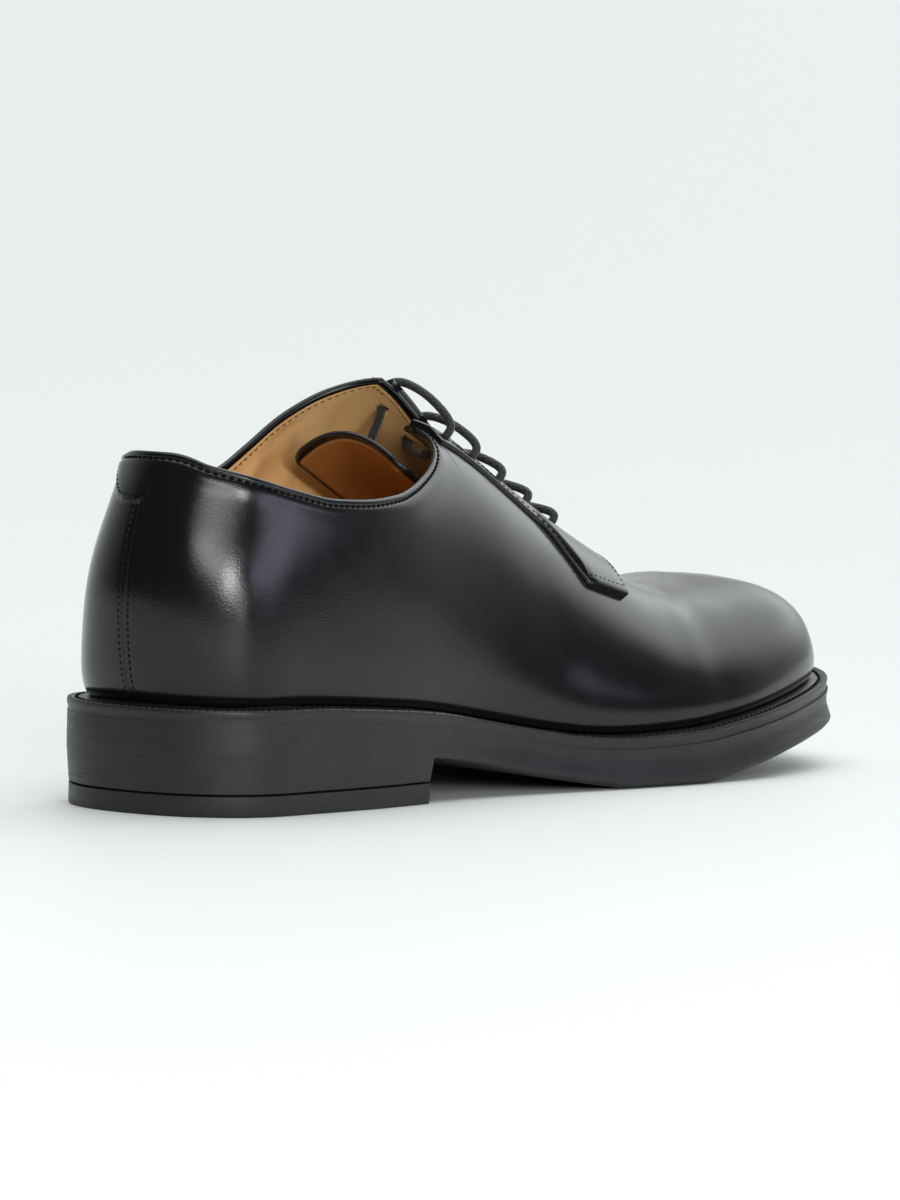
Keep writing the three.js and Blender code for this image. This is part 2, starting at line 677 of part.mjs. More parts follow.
const shoe = new THREE.Group();
function add(name, geometry, material) {
  const mesh = new THREE.Mesh(geometry, material);
  mesh.name = name;
  shoe.add(mesh);
}
add('outsole', outsole(), rubber);
add('welt', welt(), rubber);
add('heel_stack', heelStack(), rubber);
add('heel_top_lift', topLift(), rubber);
add('insole', insole(), lining);
add('upper', without(upperShell(), [...outerCutters, ...innerCutters]), leather);
add('facing_outer', without(facing(1), outerCutters), leather);
add('facing_inner', without(facing(-1), innerCutters), leather);
add('tongue', tongue(), leather);
eyelets.forEach((pair, i) => add(`lace_bar_${i + 1}`, laceBar(pair), cord));

export default shoe;
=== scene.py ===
# Looks of a right derby shoe: black polished leather, tan lining, thick welted sole.
# Shapes are worked out in millimetres in the shoe's own frame and made in metres.
import math

import bmesh
import bpy
import numpy as np
from mathutils import Matrix, Vector


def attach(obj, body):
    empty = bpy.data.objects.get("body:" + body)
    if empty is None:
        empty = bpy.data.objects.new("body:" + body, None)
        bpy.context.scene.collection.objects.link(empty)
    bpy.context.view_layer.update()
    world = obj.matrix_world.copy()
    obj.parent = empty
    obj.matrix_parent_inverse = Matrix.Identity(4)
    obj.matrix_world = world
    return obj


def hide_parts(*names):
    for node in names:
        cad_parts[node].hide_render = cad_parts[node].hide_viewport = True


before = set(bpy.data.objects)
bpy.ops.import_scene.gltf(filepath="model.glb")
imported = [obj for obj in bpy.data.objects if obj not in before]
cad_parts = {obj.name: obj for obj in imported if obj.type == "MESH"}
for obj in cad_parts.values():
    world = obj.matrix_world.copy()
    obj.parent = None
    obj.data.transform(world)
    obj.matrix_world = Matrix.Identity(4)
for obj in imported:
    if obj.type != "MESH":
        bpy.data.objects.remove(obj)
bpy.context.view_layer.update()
MM = 0.001

# Driving dimensions of the last and the sole
SOLE_LENGTH = 300
HEEL_REACH = 38
BALL_WIDTH = 104
INSTEP_HEIGHT = 106
SEAT_HEIGHT = 30
HEEL_LENGTH = 89.5
BREAST = HEEL_LENGTH - HEEL_REACH

# Thicknesses, edges and gaps
GAP = 0.3
UPPER_WALL = 2.2
LEATHER = 1.2
FOLD = 2.0
FACING_THICKNESS = 1.7
TONGUE_THICKNESS = 2.4
WELT_THICKNESS = 3.6
WELT_RIB = 12
INSOLE_THICKNESS = 3
LIFT_THICKNESS = 6
FEATHER_MARGIN = 6.6
ROLL_WIDTH = 3.4
ROLL_RISE = 1.2
SOLE_FLARE = 1.4
EDGE_ROUNDING = 2.2
HEEL_ROUNDING = 0.04
HEEL_TAPER = 0.8
NOTCH_PITCH = 2.0
FLARE_RUN = 60

# Throat, facings, lacing and tongue
THROAT_END = 172
THROAT_START = 84
THROAT_HALF = 2.6
THROAT_ROUND = 5
CORNER_REACH = 12
FACING_WIDTH = 17
FACING_SETBACK = 0.8
FACING_GAP = 0.6
EYELET_COUNT = 5
EYELET_PITCH = 12.6
FIRST_EYELET = 93
EYELET_INSET = 8.5
EYELET_RADIUS = 2
LACE_RADIUS = 1.25
LACE_RISE = 4.5
TONGUE_HALF = 30
TONGUE_DROP = 10
TONGUE_GAP = 2.1
TURNED_EDGE = 1.9

# Stitching
THREAD = 0.32
COLLAR_STITCH = 2.1
COLLAR_PITCH = 2.3
SEAM_PITCH = 1.8
EDGE_PITCH = 2.1
WELT_PITCH = 2.6
SEAM_ROW = 1.6
FACING_ROW = 2.6


def table(columns, rows):
    """A table with named columns, as one array per column."""
    return dict(zip(columns.split(), np.array(rows, float).T))


def profile(places, values):
    """Smooth curve through (place, value) pairs that never overshoots."""
    places, values = np.asarray(places, float), np.asarray(values, float)
    steps = np.diff(places)
    slopes = np.diff(values) / steps
    tangents = np.zeros(len(values))
    tangents[0], tangents[-1] = slopes[0], slopes[-1]
    before, after = slopes[:-1], slopes[1:]
    same = before * after > 0
    total = np.where(same, before + after, 1)
    tangents[1:-1] = np.where(same, 2 * before * after / total, 0)

    def curve(place):
        at = np.clip(place, places[0], places[-1])
        i = np.clip(np.searchsorted(places, at, side="right") - 1, 0, len(steps) - 1)
        t = (at - places[i]) / steps[i]
        rise = values[i + 1] - values[i]
        first, final = tangents[i] * steps[i], tangents[i + 1] * steps[i]
        return values[i] + t * (first + t * (3 * rise - 2 * first - final
                                             + t * (first + final - 2 * rise)))
    return curve


def smoothstep(value, low, high):
    t = np.clip((value - low) / (high - low), 0, 1)
    return t * t * (3 - 2 * t)


# Heights of the sole: place as a share of SOLE_LENGTH, heights as shares of SEAT_HEIGHT
sole_table = table("place welt bottom", [
    [-0.13, 1.00, 0.55],
    [0.00, 0.985, 0.52],
    [0.10, 0.93, 0.48],
    [0.18, 0.86, 0.43],
    [0.25, 0.755, 0.33],
    [0.33, 0.635, 0.19],
    [0.42, 0.525, 0.065],
    [0.485, 0.495, 0.00],
    [0.58, 0.52, 0.00],
    [0.65, 0.60, 0.10],
    [0.73, 0.71, 0.24],
    [0.81, 0.83, 0.37],
    [0.88, 0.95, 0.48],
])
welt_profile = profile(sole_table["place"] * SOLE_LENGTH, sole_table["welt"] * SEAT_HEIGHT)
bottom_profile = profile(sole_table["place"] * SOLE_LENGTH, sole_table["bottom"] * SEAT_HEIGHT)
BALL_SLANT = 0.25


def slanted(x, y):
    """The tread line of the ball runs slanted, further back on the outer side."""
    return y + BALL_SLANT * smoothstep(y, 0.2 * SOLE_LENGTH, 0.5 * SOLE_LENGTH) * x


def welt_top(x, y):
    return welt_profile(slanted(x, y))


def sole_bottom(x, y):
    return bottom_profile(slanted(x, y))


# Sections around the last, as in the part: heel and toe rows fan out by an angle, the others
# stand across at a share of SOLE_LENGTH; centre is a share of BALL_WIDTH
TOE_PLACE = 0.73
spine = [
    ("heel", 0, 0.00), ("heel", 30, 0.00), ("heel", 60, 0.00), ("heel", 90, 0.00),
    ("across", 0.10, 0.00), ("across", 0.20, -0.02), ("across", 0.30, -0.04),
    ("across", 0.40, -0.05), ("across", 0.50, -0.05), ("across", 0.58, -0.05),
    ("across", 0.65, -0.05), ("toe", 90, -0.05), ("toe", 60, -0.05), ("toe", 30, -0.05),
    ("toe", 0, -0.05),
]
side_columns = "ridge edge low low_up high high_up crown crown_up top"
outer_side = [
    [1.06, 0.365, 0.371, 0.23, 0.363, 0.50, 0.297, 0.73, 0.222],
    [1.06, 0.378, 0.366, 0.23, 0.353, 0.50, 0.291, 0.73, 0.232],
    [1.07, 0.381, 0.350, 0.23, 0.335, 0.50, 0.285, 0.73, 0.260],
    [1.09, 0.367, 0.338, 0.23, 0.325, 0.50, 0.285, 0.76, 0.245],
    [1.12, 0.387, 0.352, 0.22, 0.345, 0.48, 0.300, 0.78, 0.170],
    [1.07, 0.400, 0.368, 0.22, 0.350, 0.50, 0.245, 0.88, 0.000],
    [0.965, 0.424, 0.395, 0.22, 0.335, 0.62, 0.180, 1.00, 0.000],
    [0.81, 0.484, 0.445, 0.22, 0.355, 0.64, 0.180, 1.00, 0.000],
    [0.655, 0.533, 0.495, 0.24, 0.390, 0.64, 0.180, 1.00, 0.000],
    [0.548, 0.551, 0.515, 0.28, 0.400, 0.70, 0.190, 1.00, 0.000],
    [0.508, 0.545, 0.508, 0.33, 0.400, 0.80, 0.200, 1.00, 0.000],
    [0.521, 0.494, 0.457, 0.40, 0.375, 0.85, 0.190, 1.00, 0.000],
    [0.521, 0.452, 0.413, 0.40, 0.336, 0.85, 0.170, 1.00, 0.000],
    [0.521, 0.417, 0.377, 0.40, 0.300, 0.83, 0.150, 1.00, 0.000],
    [0.521, 0.413, 0.373, 0.40, 0.290, 0.83, 0.150, 1.00, 0.000],
]
inner_side = [
    [1.06, 0.365, 0.371, 0.23, 0.363, 0.50, 0.297, 0.73, 0.222],
    [1.06, 0.378, 0.361, 0.23, 0.345, 0.50, 0.270, 0.73, 0.210],
    [1.07, 0.381, 0.339, 0.23, 0.322, 0.50, 0.250, 0.73, 0.205],
    [1.09, 0.362, 0.325, 0.23, 0.315, 0.50, 0.262, 0.76, 0.215],
    [1.14, 0.352, 0.322, 0.22, 0.325, 0.50, 0.290, 0.82, 0.190],
    [1.17, 0.322, 0.300, 0.22, 0.315, 0.52, 0.265, 0.90, 0.000],
    [1.065, 0.290, 0.275, 0.22, 0.295, 0.62, 0.200, 1.00, 0.000],
    [0.835, 0.306, 0.285, 0.22, 0.290, 0.64, 0.180, 1.00, 0.000],
    [0.655, 0.383, 0.355, 0.24, 0.315, 0.64, 0.165, 1.00, 0.000],
    [0.548, 0.440, 0.405, 0.28, 0.335, 0.72, 0.180, 1.00, 0.000],
    [0.508, 0.452, 0.415, 0.33, 0.345, 0.80, 0.180, 1.00, 0.000],
    [0.521, 0.423, 0.385, 0.40, 0.325, 0.85, 0.170, 1.00, 0.000],
    [0.521, 0.393, 0.355, 0.40, 0.300, 0.85, 0.160, 1.00, 0.000],
    [0.521, 0.400, 0.360, 0.40, 0.290, 0.83, 0.150, 1.00, 0.000],
    [0.521, 0.413, 0.373, 0.40, 0.290, 0.83, 0.150, 1.00, 0.000],
]

# Collar line in side view: place as a share of SOLE_LENGTH, up as a share of INSTEP_HEIGHT
outer_collar = table("place up", [
    [-0.125, 0.950], [-0.09, 0.945], [-0.075, 0.915], [-0.05, 0.889], [0.00, 0.850], [0.05, 0.822],
    [0.10, 0.816], [0.15, 0.824], [0.18, 0.839], [0.21, 0.862], [0.24, 0.892], [0.265, 0.928],
    [0.285, 0.972], [0.303, 1.07],
])
inner_collar = table("place up", [
    [-0.125, 0.950], [-0.09, 0.945], [-0.05, 0.915], [0.00, 0.875], [0.05, 0.85], [0.10, 0.845],
    [0.13, 0.868], [0.167, 0.930], [0.205, 1.014], [0.245, 1.078], [0.28, 1.108], [0.30, 1.09],
    [0.32, 1.03],
])


def section_points(spine_row, values, sign):
    """Edge point and six control points of one half section."""
    zone, place_value, centre_share = spine_row
    side = dict(zip(side_columns.split(), values))
    centre = centre_share * BALL_WIDTH
    angle = math.radians(place_value)
    origin, direction = {
        "heel": ((0, 0), (sign * math.sin(angle), -math.cos(angle))),
        "toe": ((centre, TOE_PLACE * SOLE_LENGTH), (sign * math.sin(angle), math.cos(angle))),
        "across": ((centre, place_value * SOLE_LENGTH), (sign, 0)),
    }[zone]

    def place(reach):
        return [origin[0] + direction[0] * reach, origin[1] + direction[1] * reach]

    feather = side["edge"] * BALL_WIDTH - FEATHER_MARGIN
    seat = float(welt_top(*place(feather))) + GAP
    ridge = side["ridge"] * INSTEP_HEIGHT

    def at(reach, share):
        return place(reach) + [seat + (ridge - seat) * share]

    net = [
        at(feather, 0),
        place(feather + ROLL_WIDTH) + [seat + ROLL_RISE],
        at(side["low"] * BALL_WIDTH, side["low_up"]),
        at(side["high"] * BALL_WIDTH, side["high_up"]),
        at(side["crown"] * BALL_WIDTH, side["crown_up"]),
        at(side["top"] * BALL_WIDTH, 1),
    ]
    return place(side["edge"] * BALL_WIDTH), net


LAST_ROW = len(spine) - 1
loop = [section_points(row, outer_side[i], 1) for i, row in enumerate(spine)]
loop += [section_points(spine[i], inner_side[i], -1) for i in range(LAST_ROW - 1, 0, -1)]
ROWS = len(loop)
TOE_START = next(i for i, row in enumerate(spine) if row[0] == "toe")


def closed_spline(points):
    """Closed smooth curve through points at whole parameters."""
    points = np.array(points, float)
    control = points.copy()
    for _ in range(24):
        control += points - (np.roll(control, 1, 0) + 4 * control + np.roll(control, -1, 0)) / 6

    def curve(u):
        start = np.floor(u).astype(int)
        t = u - start
        s = 1 - t
        weights = [s ** 3, 3 * t ** 3 - 6 * t ** 2 + 4, 3 * s ** 3 - 6 * s ** 2 + 4, t ** 3]
        return sum(w[:, None] / 6 * control[(start - 1 + i) % ROWS] for i, w in enumerate(weights))
    return curve


net_curve = closed_spline([np.ravel(net) for _, net in loop])
edge_curve = closed_spline([edge for edge, _ in loop])
POLE = np.array(loop[LAST_ROW][1][5])
KNOTS = np.array([0, 0, 0, 0, 1, 2, 3, 3, 3, 3], float)


def in_toe_fan(u):
    return (u >= TOE_START) & (u <= ROWS - TOE_START)


def section_net(u):
    net = net_curve(u).reshape(-1, 6, 3)
    net[in_toe_fan(u), 5] = POLE
    return net


def basis(t):
    """Weights of the six control points of a clamped cubic B-spline."""
    at = np.minimum(np.clip(t, 0, 1) * 3, 3 - 1e-9)
    b = [((KNOTS[i] <= at) & (at < KNOTS[i + 1])).astype(float) for i in range(9)]
    for degree in (1, 2, 3):
        grown = []
        for i in range(9 - degree):
            left, right = KNOTS[i + degree] - KNOTS[i], KNOTS[i + degree + 1] - KNOTS[i + 1]
            value = np.zeros_like(at)
            if left > 0:
                value += (at - KNOTS[i]) / left * b[i]
            if right > 0:
                value += (KNOTS[i + degree + 1] - at) / right * b[i + 1]
            grown.append(value)
        b = grown
    return np.stack(b, -1)


def surface(u, t):
    """Points of the last: u has one value per column, t one row of values per column."""
    return np.einsum("nmk,nkc->nmc", basis(t), section_net(np.asarray(u, float)))


def normals(u, t):
    """Outward unit normals; near the toe's crown they turn upright."""
    step = 0.01
    around = surface(u + step, t) - surface(u - step, t)
    rise = surface(u, np.minimum(t + step, 1)) - surface(u, np.maximum(t - step, 0))
    out = np.cross(around, rise)
    out /= np.linalg.norm(out, axis=-1, keepdims=True) + 1e-12
    upright = np.where(in_toe_fan(u)[:, None], smoothstep(t, 0.93, 0.985), 0)[..., None]
    out = out * (1 - upright) + np.array([0, 0, 1.0]) * upright
    return out / np.linalg.norm(out, axis=-1, keepdims=True)


def station_at(y, outer=True):
    """Stations whose sections stand at places along the shoe, on one side."""
    y = np.atleast_1d(np.asarray(y, float))
    low, high = np.full(len(y), 3.0), np.full(len(y), float(TOE_START))
    for _ in range(40):
        middle = (low + high) / 2
        before = surface(middle, np.full((len(y), 1), 0.9))[:, 0, 1] < y
        low, high = np.where(before, middle, low), np.where(before, high, middle)
    return low if outer else ROWS - low


across_rows = [row for row in spine if row[0] == "across"]
centre_line = profile([r[1] * SOLE_LENGTH for r in across_rows],
                      [r[2] * BALL_WIDTH for r in across_rows])
outer_line = profile(outer_collar["place"] * SOLE_LENGTH, outer_collar["up"] * INSTEP_HEIGHT)
inner_line = profile(inner_collar["place"] * SOLE_LENGTH, inner_collar["up"] * INSTEP_HEIGHT)


def throat_half(y):
    return THROAT_HALF * np.minimum(1, np.sqrt(np.maximum(THROAT_END - y, 0) / THROAT_ROUND))


def is_cut(u, points):
    x, y, z = np.moveaxis(points, -1, 0)
    outer = (u <= ROWS / 2)[:, None]
    above = z > np.where(outer, outer_line(y), inner_line(y))
    above &= y < THROAT_START + CORNER_REACH
    slot = (np.abs(x - centre_line(y)) < throat_half(y)) & (y > THROAT_START - CORNER_REACH)
    return above | slot


def top_share(u):
    """Share of each section that is kept below the collar and beside the throat."""
    closed = surface(u, np.ones((len(u), 1)))[:, 0, 1] >= THROAT_END - 1e-6
    scan = np.tile(np.arange(0.4, 1.0001, 0.01), (len(u), 1))
    cut = is_cut(u, surface(u, scan))
    first = np.where(cut.any(1), cut.argmax(1), scan.shape[1] - 1)
    high = scan[np.arange(len(u)), first]
    low = high - 0.01
    for _ in range(30):
        middle = (low + high) / 2
        kept = ~is_cut(u, surface(u, middle[:, None]))[:, 0]
        low, high = np.where(kept, middle, low), np.where(kept, high, middle)
    return np.where(closed, 1.0, low), closed


class Columns:
    """Columns of the upper's surface, addressed by distance down from their cut line."""

    def __init__(self, u):
        self.u = np.asarray(u, float)
        self.top, self.closed = top_share(self.u)
        self.shares = np.linspace(0, 1, 301)
        grid = surface(self.u, self.shares[None, :].repeat(len(self.u), 0))
        steps = np.linalg.norm(np.diff(grid, axis=1), axis=-1)
        self.walked = np.concatenate([np.zeros((len(self.u), 1)), np.cumsum(steps, 1)], 1)
        self.length = np.array([np.interp(t, self.shares, w) for t, w in zip(self.top, self.walked)])

    def share(self, distance):
        """t for distances below the cut line, one row per column."""
        distance = np.broadcast_to(distance, (len(self.u), np.shape(distance)[-1]))
        rows = zip(self.length, distance, self.walked)
        return np.array([np.interp(length - d, w, self.shares) for length, d, w in rows])

    def point(self, distance, depth=0.0):
        """Points at distances below the cut line and a depth under the surface."""
        t = self.share(distance)
        return surface(self.u, t) - normals(self.u, t) * np.asarray(depth)[..., None]


# Mesh helpers
def new_object(name, points, faces, smooth=True):
    mesh = bpy.data.meshes.new(name)
    mesh.from_pydata((np.asarray(points) * MM).tolist(), [], [list(map(int, f)) for f in faces])
    mesh.validate()
    if smooth:
        mesh.polygons.foreach_set("use_smooth", [True] * len(mesh.polygons))
    mesh.update()
    obj = bpy.data.objects.new(name, mesh)
    bpy.context.scene.collection.objects.link(obj)
    return obj


def weld(obj, distance=1e-6):
    """Joins vertices that lie together and drops faces that closed up."""
    bm = bmesh.new()
    bm.from_mesh(obj.data)
    bmesh.ops.remove_doubles(bm, verts=bm.verts, dist=distance)
    bmesh.ops.dissolve_degenerate(bm, edges=bm.edges, dist=distance)
    bmesh.ops.recalc_face_normals(bm, faces=bm.faces)
    for face in bm.faces:
        face.smooth = True
    bm.to_mesh(obj.data)
    bm.free()
    return obj


def sharpen(obj, degrees):
    """Marks edges sharper than an angle, so that smooth shading stops there."""
    obj.data.set_sharp_from_angle(angle=math.radians(degrees))
    return obj


def ring_faces(rings, count, closed=True, capped=False, flip=False):
    """Faces of stacked rings of count points; caps fold the end rings from side to side."""
    faces = []
    columns = np.arange(count if closed else count - 1)
    after = (columns + 1) % count
    for ring in range(rings - 1):
        low, high = ring * count, (ring + 1) * count
        faces += np.stack([low + columns, low + after, high + after, high + columns], 1).tolist()
    if capped:
        top = (rings - 1) * count
        for i in range(count // 2):
            far, near = (count - i) % count, count - i - 1
            faces.append([i, far, near, i + 1])
            faces.append([top + i, top + i + 1, top + near, top + far])
    return [face[::-1] for face in faces] if flip else faces


def finish_piece(obj, material, slot, *nodes):
    obj.data.materials.clear()
    obj.data.materials.append(material)
    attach(obj, "root")
    if nodes:
        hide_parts(*nodes)
    return obj


# Materials
def shader(name, **values):
    """A Principled material; values are set on the shader's own sockets."""
    material = bpy.data.materials.new(name)
    material.use_nodes = True
    principled = material.node_tree.nodes["Principled BSDF"]
    for key, value in values.items():
        principled.inputs[key.replace("_", " ")].default_value = value
    return material, material.node_tree, principled


def node(tree, kind, **settings):
    made = tree.nodes.new(kind)
    for key, value in settings.items():
        target = made.inputs.get(key.replace("_", " ")) if key[0].isupper() else None
        if target is None:
            setattr(made, key, value)
        else:
            target.default_value = value
    return made


def place_coordinates(tree, scale=(1, 1, 1)):
    """Object coordinates in millimetres, stretched by scale."""
    coordinates = node(tree, "ShaderNodeTexCoord")
    mapping = node(tree, "ShaderNodeMapping")
    mapping.inputs["Scale"].default_value = [s / MM for s in scale]
    tree.links.new(coordinates.outputs["Object"], mapping.inputs["Vector"])
    return mapping.outputs["Vector"]


def noise(tree, vector, per_mm, detail=3.0, roughness=0.5):
    texture = node(tree, "ShaderNodeTexNoise", Scale=per_mm, Detail=detail, Roughness=roughness)
    tree.links.new(vector, texture.inputs["Vector"])
    return texture.outputs["Fac"]


def ramp(tree, source, low, high, value_low, value_high):
    """Maps a value between two limits to another range."""
    mapped = node(tree, "ShaderNodeMapRange")
    for key, value in zip(("From Min", "From Max", "To Min", "To Max"),
                          (low, high, value_low, value_high)):
        mapped.inputs[key].default_value = value
    tree.links.new(source, mapped.inputs["Value"])
    return mapped.outputs["Result"]


def bump(tree, height, distance_mm, strength, before=None):
    made = node(tree, "ShaderNodeBump", Strength=strength, Distance=distance_mm * MM)
    tree.links.new(height, made.inputs["Height"])
    if before is not None:
        tree.links.new(before, made.inputs["Normal"])
    return made.outputs["Normal"]


def mix_colours(tree, factor, first, second):
    mixed = node(tree, "ShaderNodeMix", data_type="RGBA")
    mixed.inputs["A"].default_value = (*first, 1)
    mixed.inputs["B"].default_value = (*second, 1)
    tree.links.new(factor, mixed.inputs["Factor"])
    return mixed.outputs["Result"]


def polished_leather():
    """Smooth black leather with a fine close grain under a waxed, glossy finish."""
    material, tree, out = shader(
        "black_polished_leather", Specular_IOR_Level=0.42)
    place = place_coordinates(tree)
    cloud = noise(tree, place, 0.035, 2)
    colour = mix_colours(tree, cloud, (0.0030, 0.0030, 0.0034), (0.0055, 0.0055, 0.0062))
    tree.links.new(colour, out.inputs["Base Color"])
    smudge = noise(tree, place, 0.12, 4)
    tree.links.new(ramp(tree, smudge, 0.3, 0.7, 0.15, 0.21), out.inputs["Roughness"])
    fine = noise(tree, place, 2.6, 2)
    cells = node(tree, "ShaderNodeTexVoronoi", Scale=1.9)
    tree.links.new(place, cells.inputs["Vector"])
    sag = noise(tree, place, 0.05, 1)
    first = bump(tree, sag, 1.0, 0.12)
    second = bump(tree, cells.outputs["Distance"], 0.03, 0.4, first)
    tree.links.new(bump(tree, fine, 0.03, 0.45, second), out.inputs["Normal"])
    return material


def tan_lining(name, light, dark, gloss):
    """Matt lining leather: even tan with soft clouds, pores and light wrinkles."""
    material, tree, out = shader(name, Specular_IOR_Level=0.4)
    place = place_coordinates(tree)
    cloud = noise(tree, place, 0.06, 4, 0.6)
    tree.links.new(mix_colours(tree, ramp(tree, cloud, 0.3, 0.7, 0, 1), dark, light),
                   out.inputs["Base Color"])
    tree.links.new(ramp(tree, cloud, 0.3, 0.7, gloss, gloss + 0.12), out.inputs["Roughness"])
    pores = noise(tree, place, 1.6, 3)
    folds = noise(tree, place, 0.11, 2)
    first = bump(tree, folds, 0.8, 0.3)
    tree.links.new(bump(tree, pores, 0.06, 0.35, first), out.inputs["Normal"])
    return material


def sole_rubber(name, colour, worn, roughness, lines):
    """Satin black sole edge: streaks that run level round the side, faint scuffs."""
    material, tree, out = shader(name, Specular_IOR_Level=0.45)
    level = place_coordinates(tree, (0.05, 0.05, 1.6))
    streaks = noise(tree, level, 1.0, 4, 0.6)
    place = place_coordinates(tree)
    cloud = noise(tree, place, 0.08, 4, 0.6)
    tree.links.new(mix_colours(tree, ramp(tree, cloud, 0.35, 0.75, 0, 1), colour, worn),
                   out.inputs["Base Color"])
    tree.links.new(ramp(tree, streaks, 0.3, 0.7, roughness - 0.06, roughness + 0.08),
                   out.inputs["Roughness"])
    grit = noise(tree, place, 3.0, 2)
    first = bump(tree, streaks, 0.25, lines)
    tree.links.new(bump(tree, grit, 0.03, 0.3, first), out.inputs["Normal"])
    return material


def thread_material(name, colour, roughness):
    material, tree, out = shader(name, Roughness=roughness, Specular_IOR_Level=0.05)
    place = place_coordinates(tree)
    darker = tuple(0.55 * part for part in colour)
    tree.links.new(mix_colours(tree, noise(tree, place, 1.5, 2), darker, colour),
                   out.inputs["Base Color"])
    tree.links.new(bump(tree, noise(tree, place, 4.0, 2), 0.05, 0.5), out.inputs["Normal"])
    return material


def lace_material():
    """Round waxed braid: short slanting strands that cross round the cord, with painted shade darkening
    the grooves between them.
    """
    material, tree, out = shader("lace_braid", Roughness=0.62, Sheen_Weight=0.25)
    coordinates = node(tree, "ShaderNodeUVMap", uv_map="run")
    split = node(tree, "ShaderNodeSeparateXYZ")
    tree.links.new(coordinates.outputs["UV"], split.inputs["Vector"])
    heights = []
    for sign in (1, -1):
        around = node(tree, "ShaderNodeMath", operation="MULTIPLY")
        tree.links.new(split.outputs["X"], around.inputs[0])
        around.inputs[1].default_value = 6 * sign
        slant = node(tree, "ShaderNodeMath", operation="ADD")
        tree.links.new(around.outputs[0], slant.inputs[0])
        tree.links.new(split.outputs["Y"], slant.inputs[1])
        turn = node(tree, "ShaderNodeMath", operation="MULTIPLY")
        tree.links.new(slant.outputs[0], turn.inputs[0])
        turn.inputs[1].default_value = 2 * math.pi
        wave = node(tree, "ShaderNodeMath", operation="SINE")
        tree.links.new(turn.outputs[0], wave.inputs[0])
        heights.append(wave.outputs[0])
    both = node(tree, "ShaderNodeMath", operation="MAXIMUM")
    tree.links.new(heights[0], both.inputs[0])
    tree.links.new(heights[1], both.inputs[1])
    # Painted shade: the colour follows the braid's height, darker in the grooves and lighter on the
    # strands' crowns
    colour = mix_colours(tree, ramp(tree, both.outputs[0], -0.4, 1, 0, 1),
                         (0.004, 0.004, 0.004), (0.014, 0.014, 0.015))
    tree.links.new(colour, out.inputs["Base Color"])
    tree.links.new(bump(tree, both.outputs[0], 0.14, 0.7), out.inputs["Normal"])
    return material


black_leather = polished_leather()
lining_tan = tan_lining("lining_tan", (0.84, 0.52, 0.22), (0.68, 0.39, 0.15), 0.5)
# The tongue's lining is the same tan leather, darkened as painted shade for the shadow under the tongue
tongue_tan_painted_shade = tan_lining("tongue_lining_shaded_tan", (0.36, 0.17, 0.05), (0.29, 0.13, 0.035), 0.5)
sole_black = sole_rubber("sole_black", (0.0085, 0.0085, 0.009), (0.014, 0.014, 0.0145), 0.44, 0.14)
welt_black = sole_rubber("welt_black", (0.010, 0.010, 0.0105), (0.016, 0.016, 0.0165), 0.40, 0.08)
black_thread = thread_material("thread_black", (0.005, 0.005, 0.0055), 0.65)
tan_thread = thread_material("thread_tan", (0.16, 0.075, 0.025), 0.6)
braid = lace_material()


# Camera: the photograph's angle and distance, turned and zoomed to frame the one shoe
CAMERA_AZIMUTH = math.radians(40)
CAMERA_DISTANCE = 2700
CAMERA_HEIGHT = 264
CAMERA_AIM = Vector((-2.6, 110.1, 52.2))
CAMERA_ROLL = math.radians(1.31)
PHOTO_FOCAL = 6921.6
PHOTO_HEIGHT = 1200
FRAME_ZOOM = 1.4
SENSOR = 36


def make_camera():
    data = bpy.data.cameras.new("camera")
    data.sensor_fit = "VERTICAL"
    data.sensor_height = SENSOR
    data.lens = PHOTO_FOCAL / PHOTO_HEIGHT * SENSOR * FRAME_ZOOM
    data.clip_end = 200
    camera = bpy.data.objects.new("camera", data)
    bpy.context.scene.collection.objects.link(camera)
    place = Vector((math.sin(CAMERA_AZIMUTH), -math.cos(CAMERA_AZIMUTH), 0)) * CAMERA_DISTANCE
    place.z = CAMERA_HEIGHT
    forward = (CAMERA_AIM - place).normalized()
    right = forward.cross(Vector((0, 0, 1))).normalized()
    up = right.cross(forward)
    turned = right * math.cos(CAMERA_ROLL) + up * math.sin(CAMERA_ROLL)
    raised = up * math.cos(CAMERA_ROLL) - right * math.sin(CAMERA_ROLL)
    matrix = Matrix((turned, raised, -forward)).transposed().to_4x4()
    matrix.translation = place * MM
    camera.matrix_world = matrix
    bpy.context.scene.camera = camera


make_camera()


# Stitches: a row of short sunk capsules along a path over a surface
def even_places(path, pitch):
    """Lengths along a path at even steps, and the length walked at each of its points."""
    walked = np.concatenate([[0], np.cumsum(np.linalg.norm(np.diff(path, axis=0), axis=1))])
    count = max(int(walked[-1] / pitch), 1)
    return (np.arange(count) + 0.5) * walked[-1] / count, walked


def along(values, walked, at):
    return np.stack([np.interp(at, walked, values[:, k]) for k in range(values.shape[1])], 1)


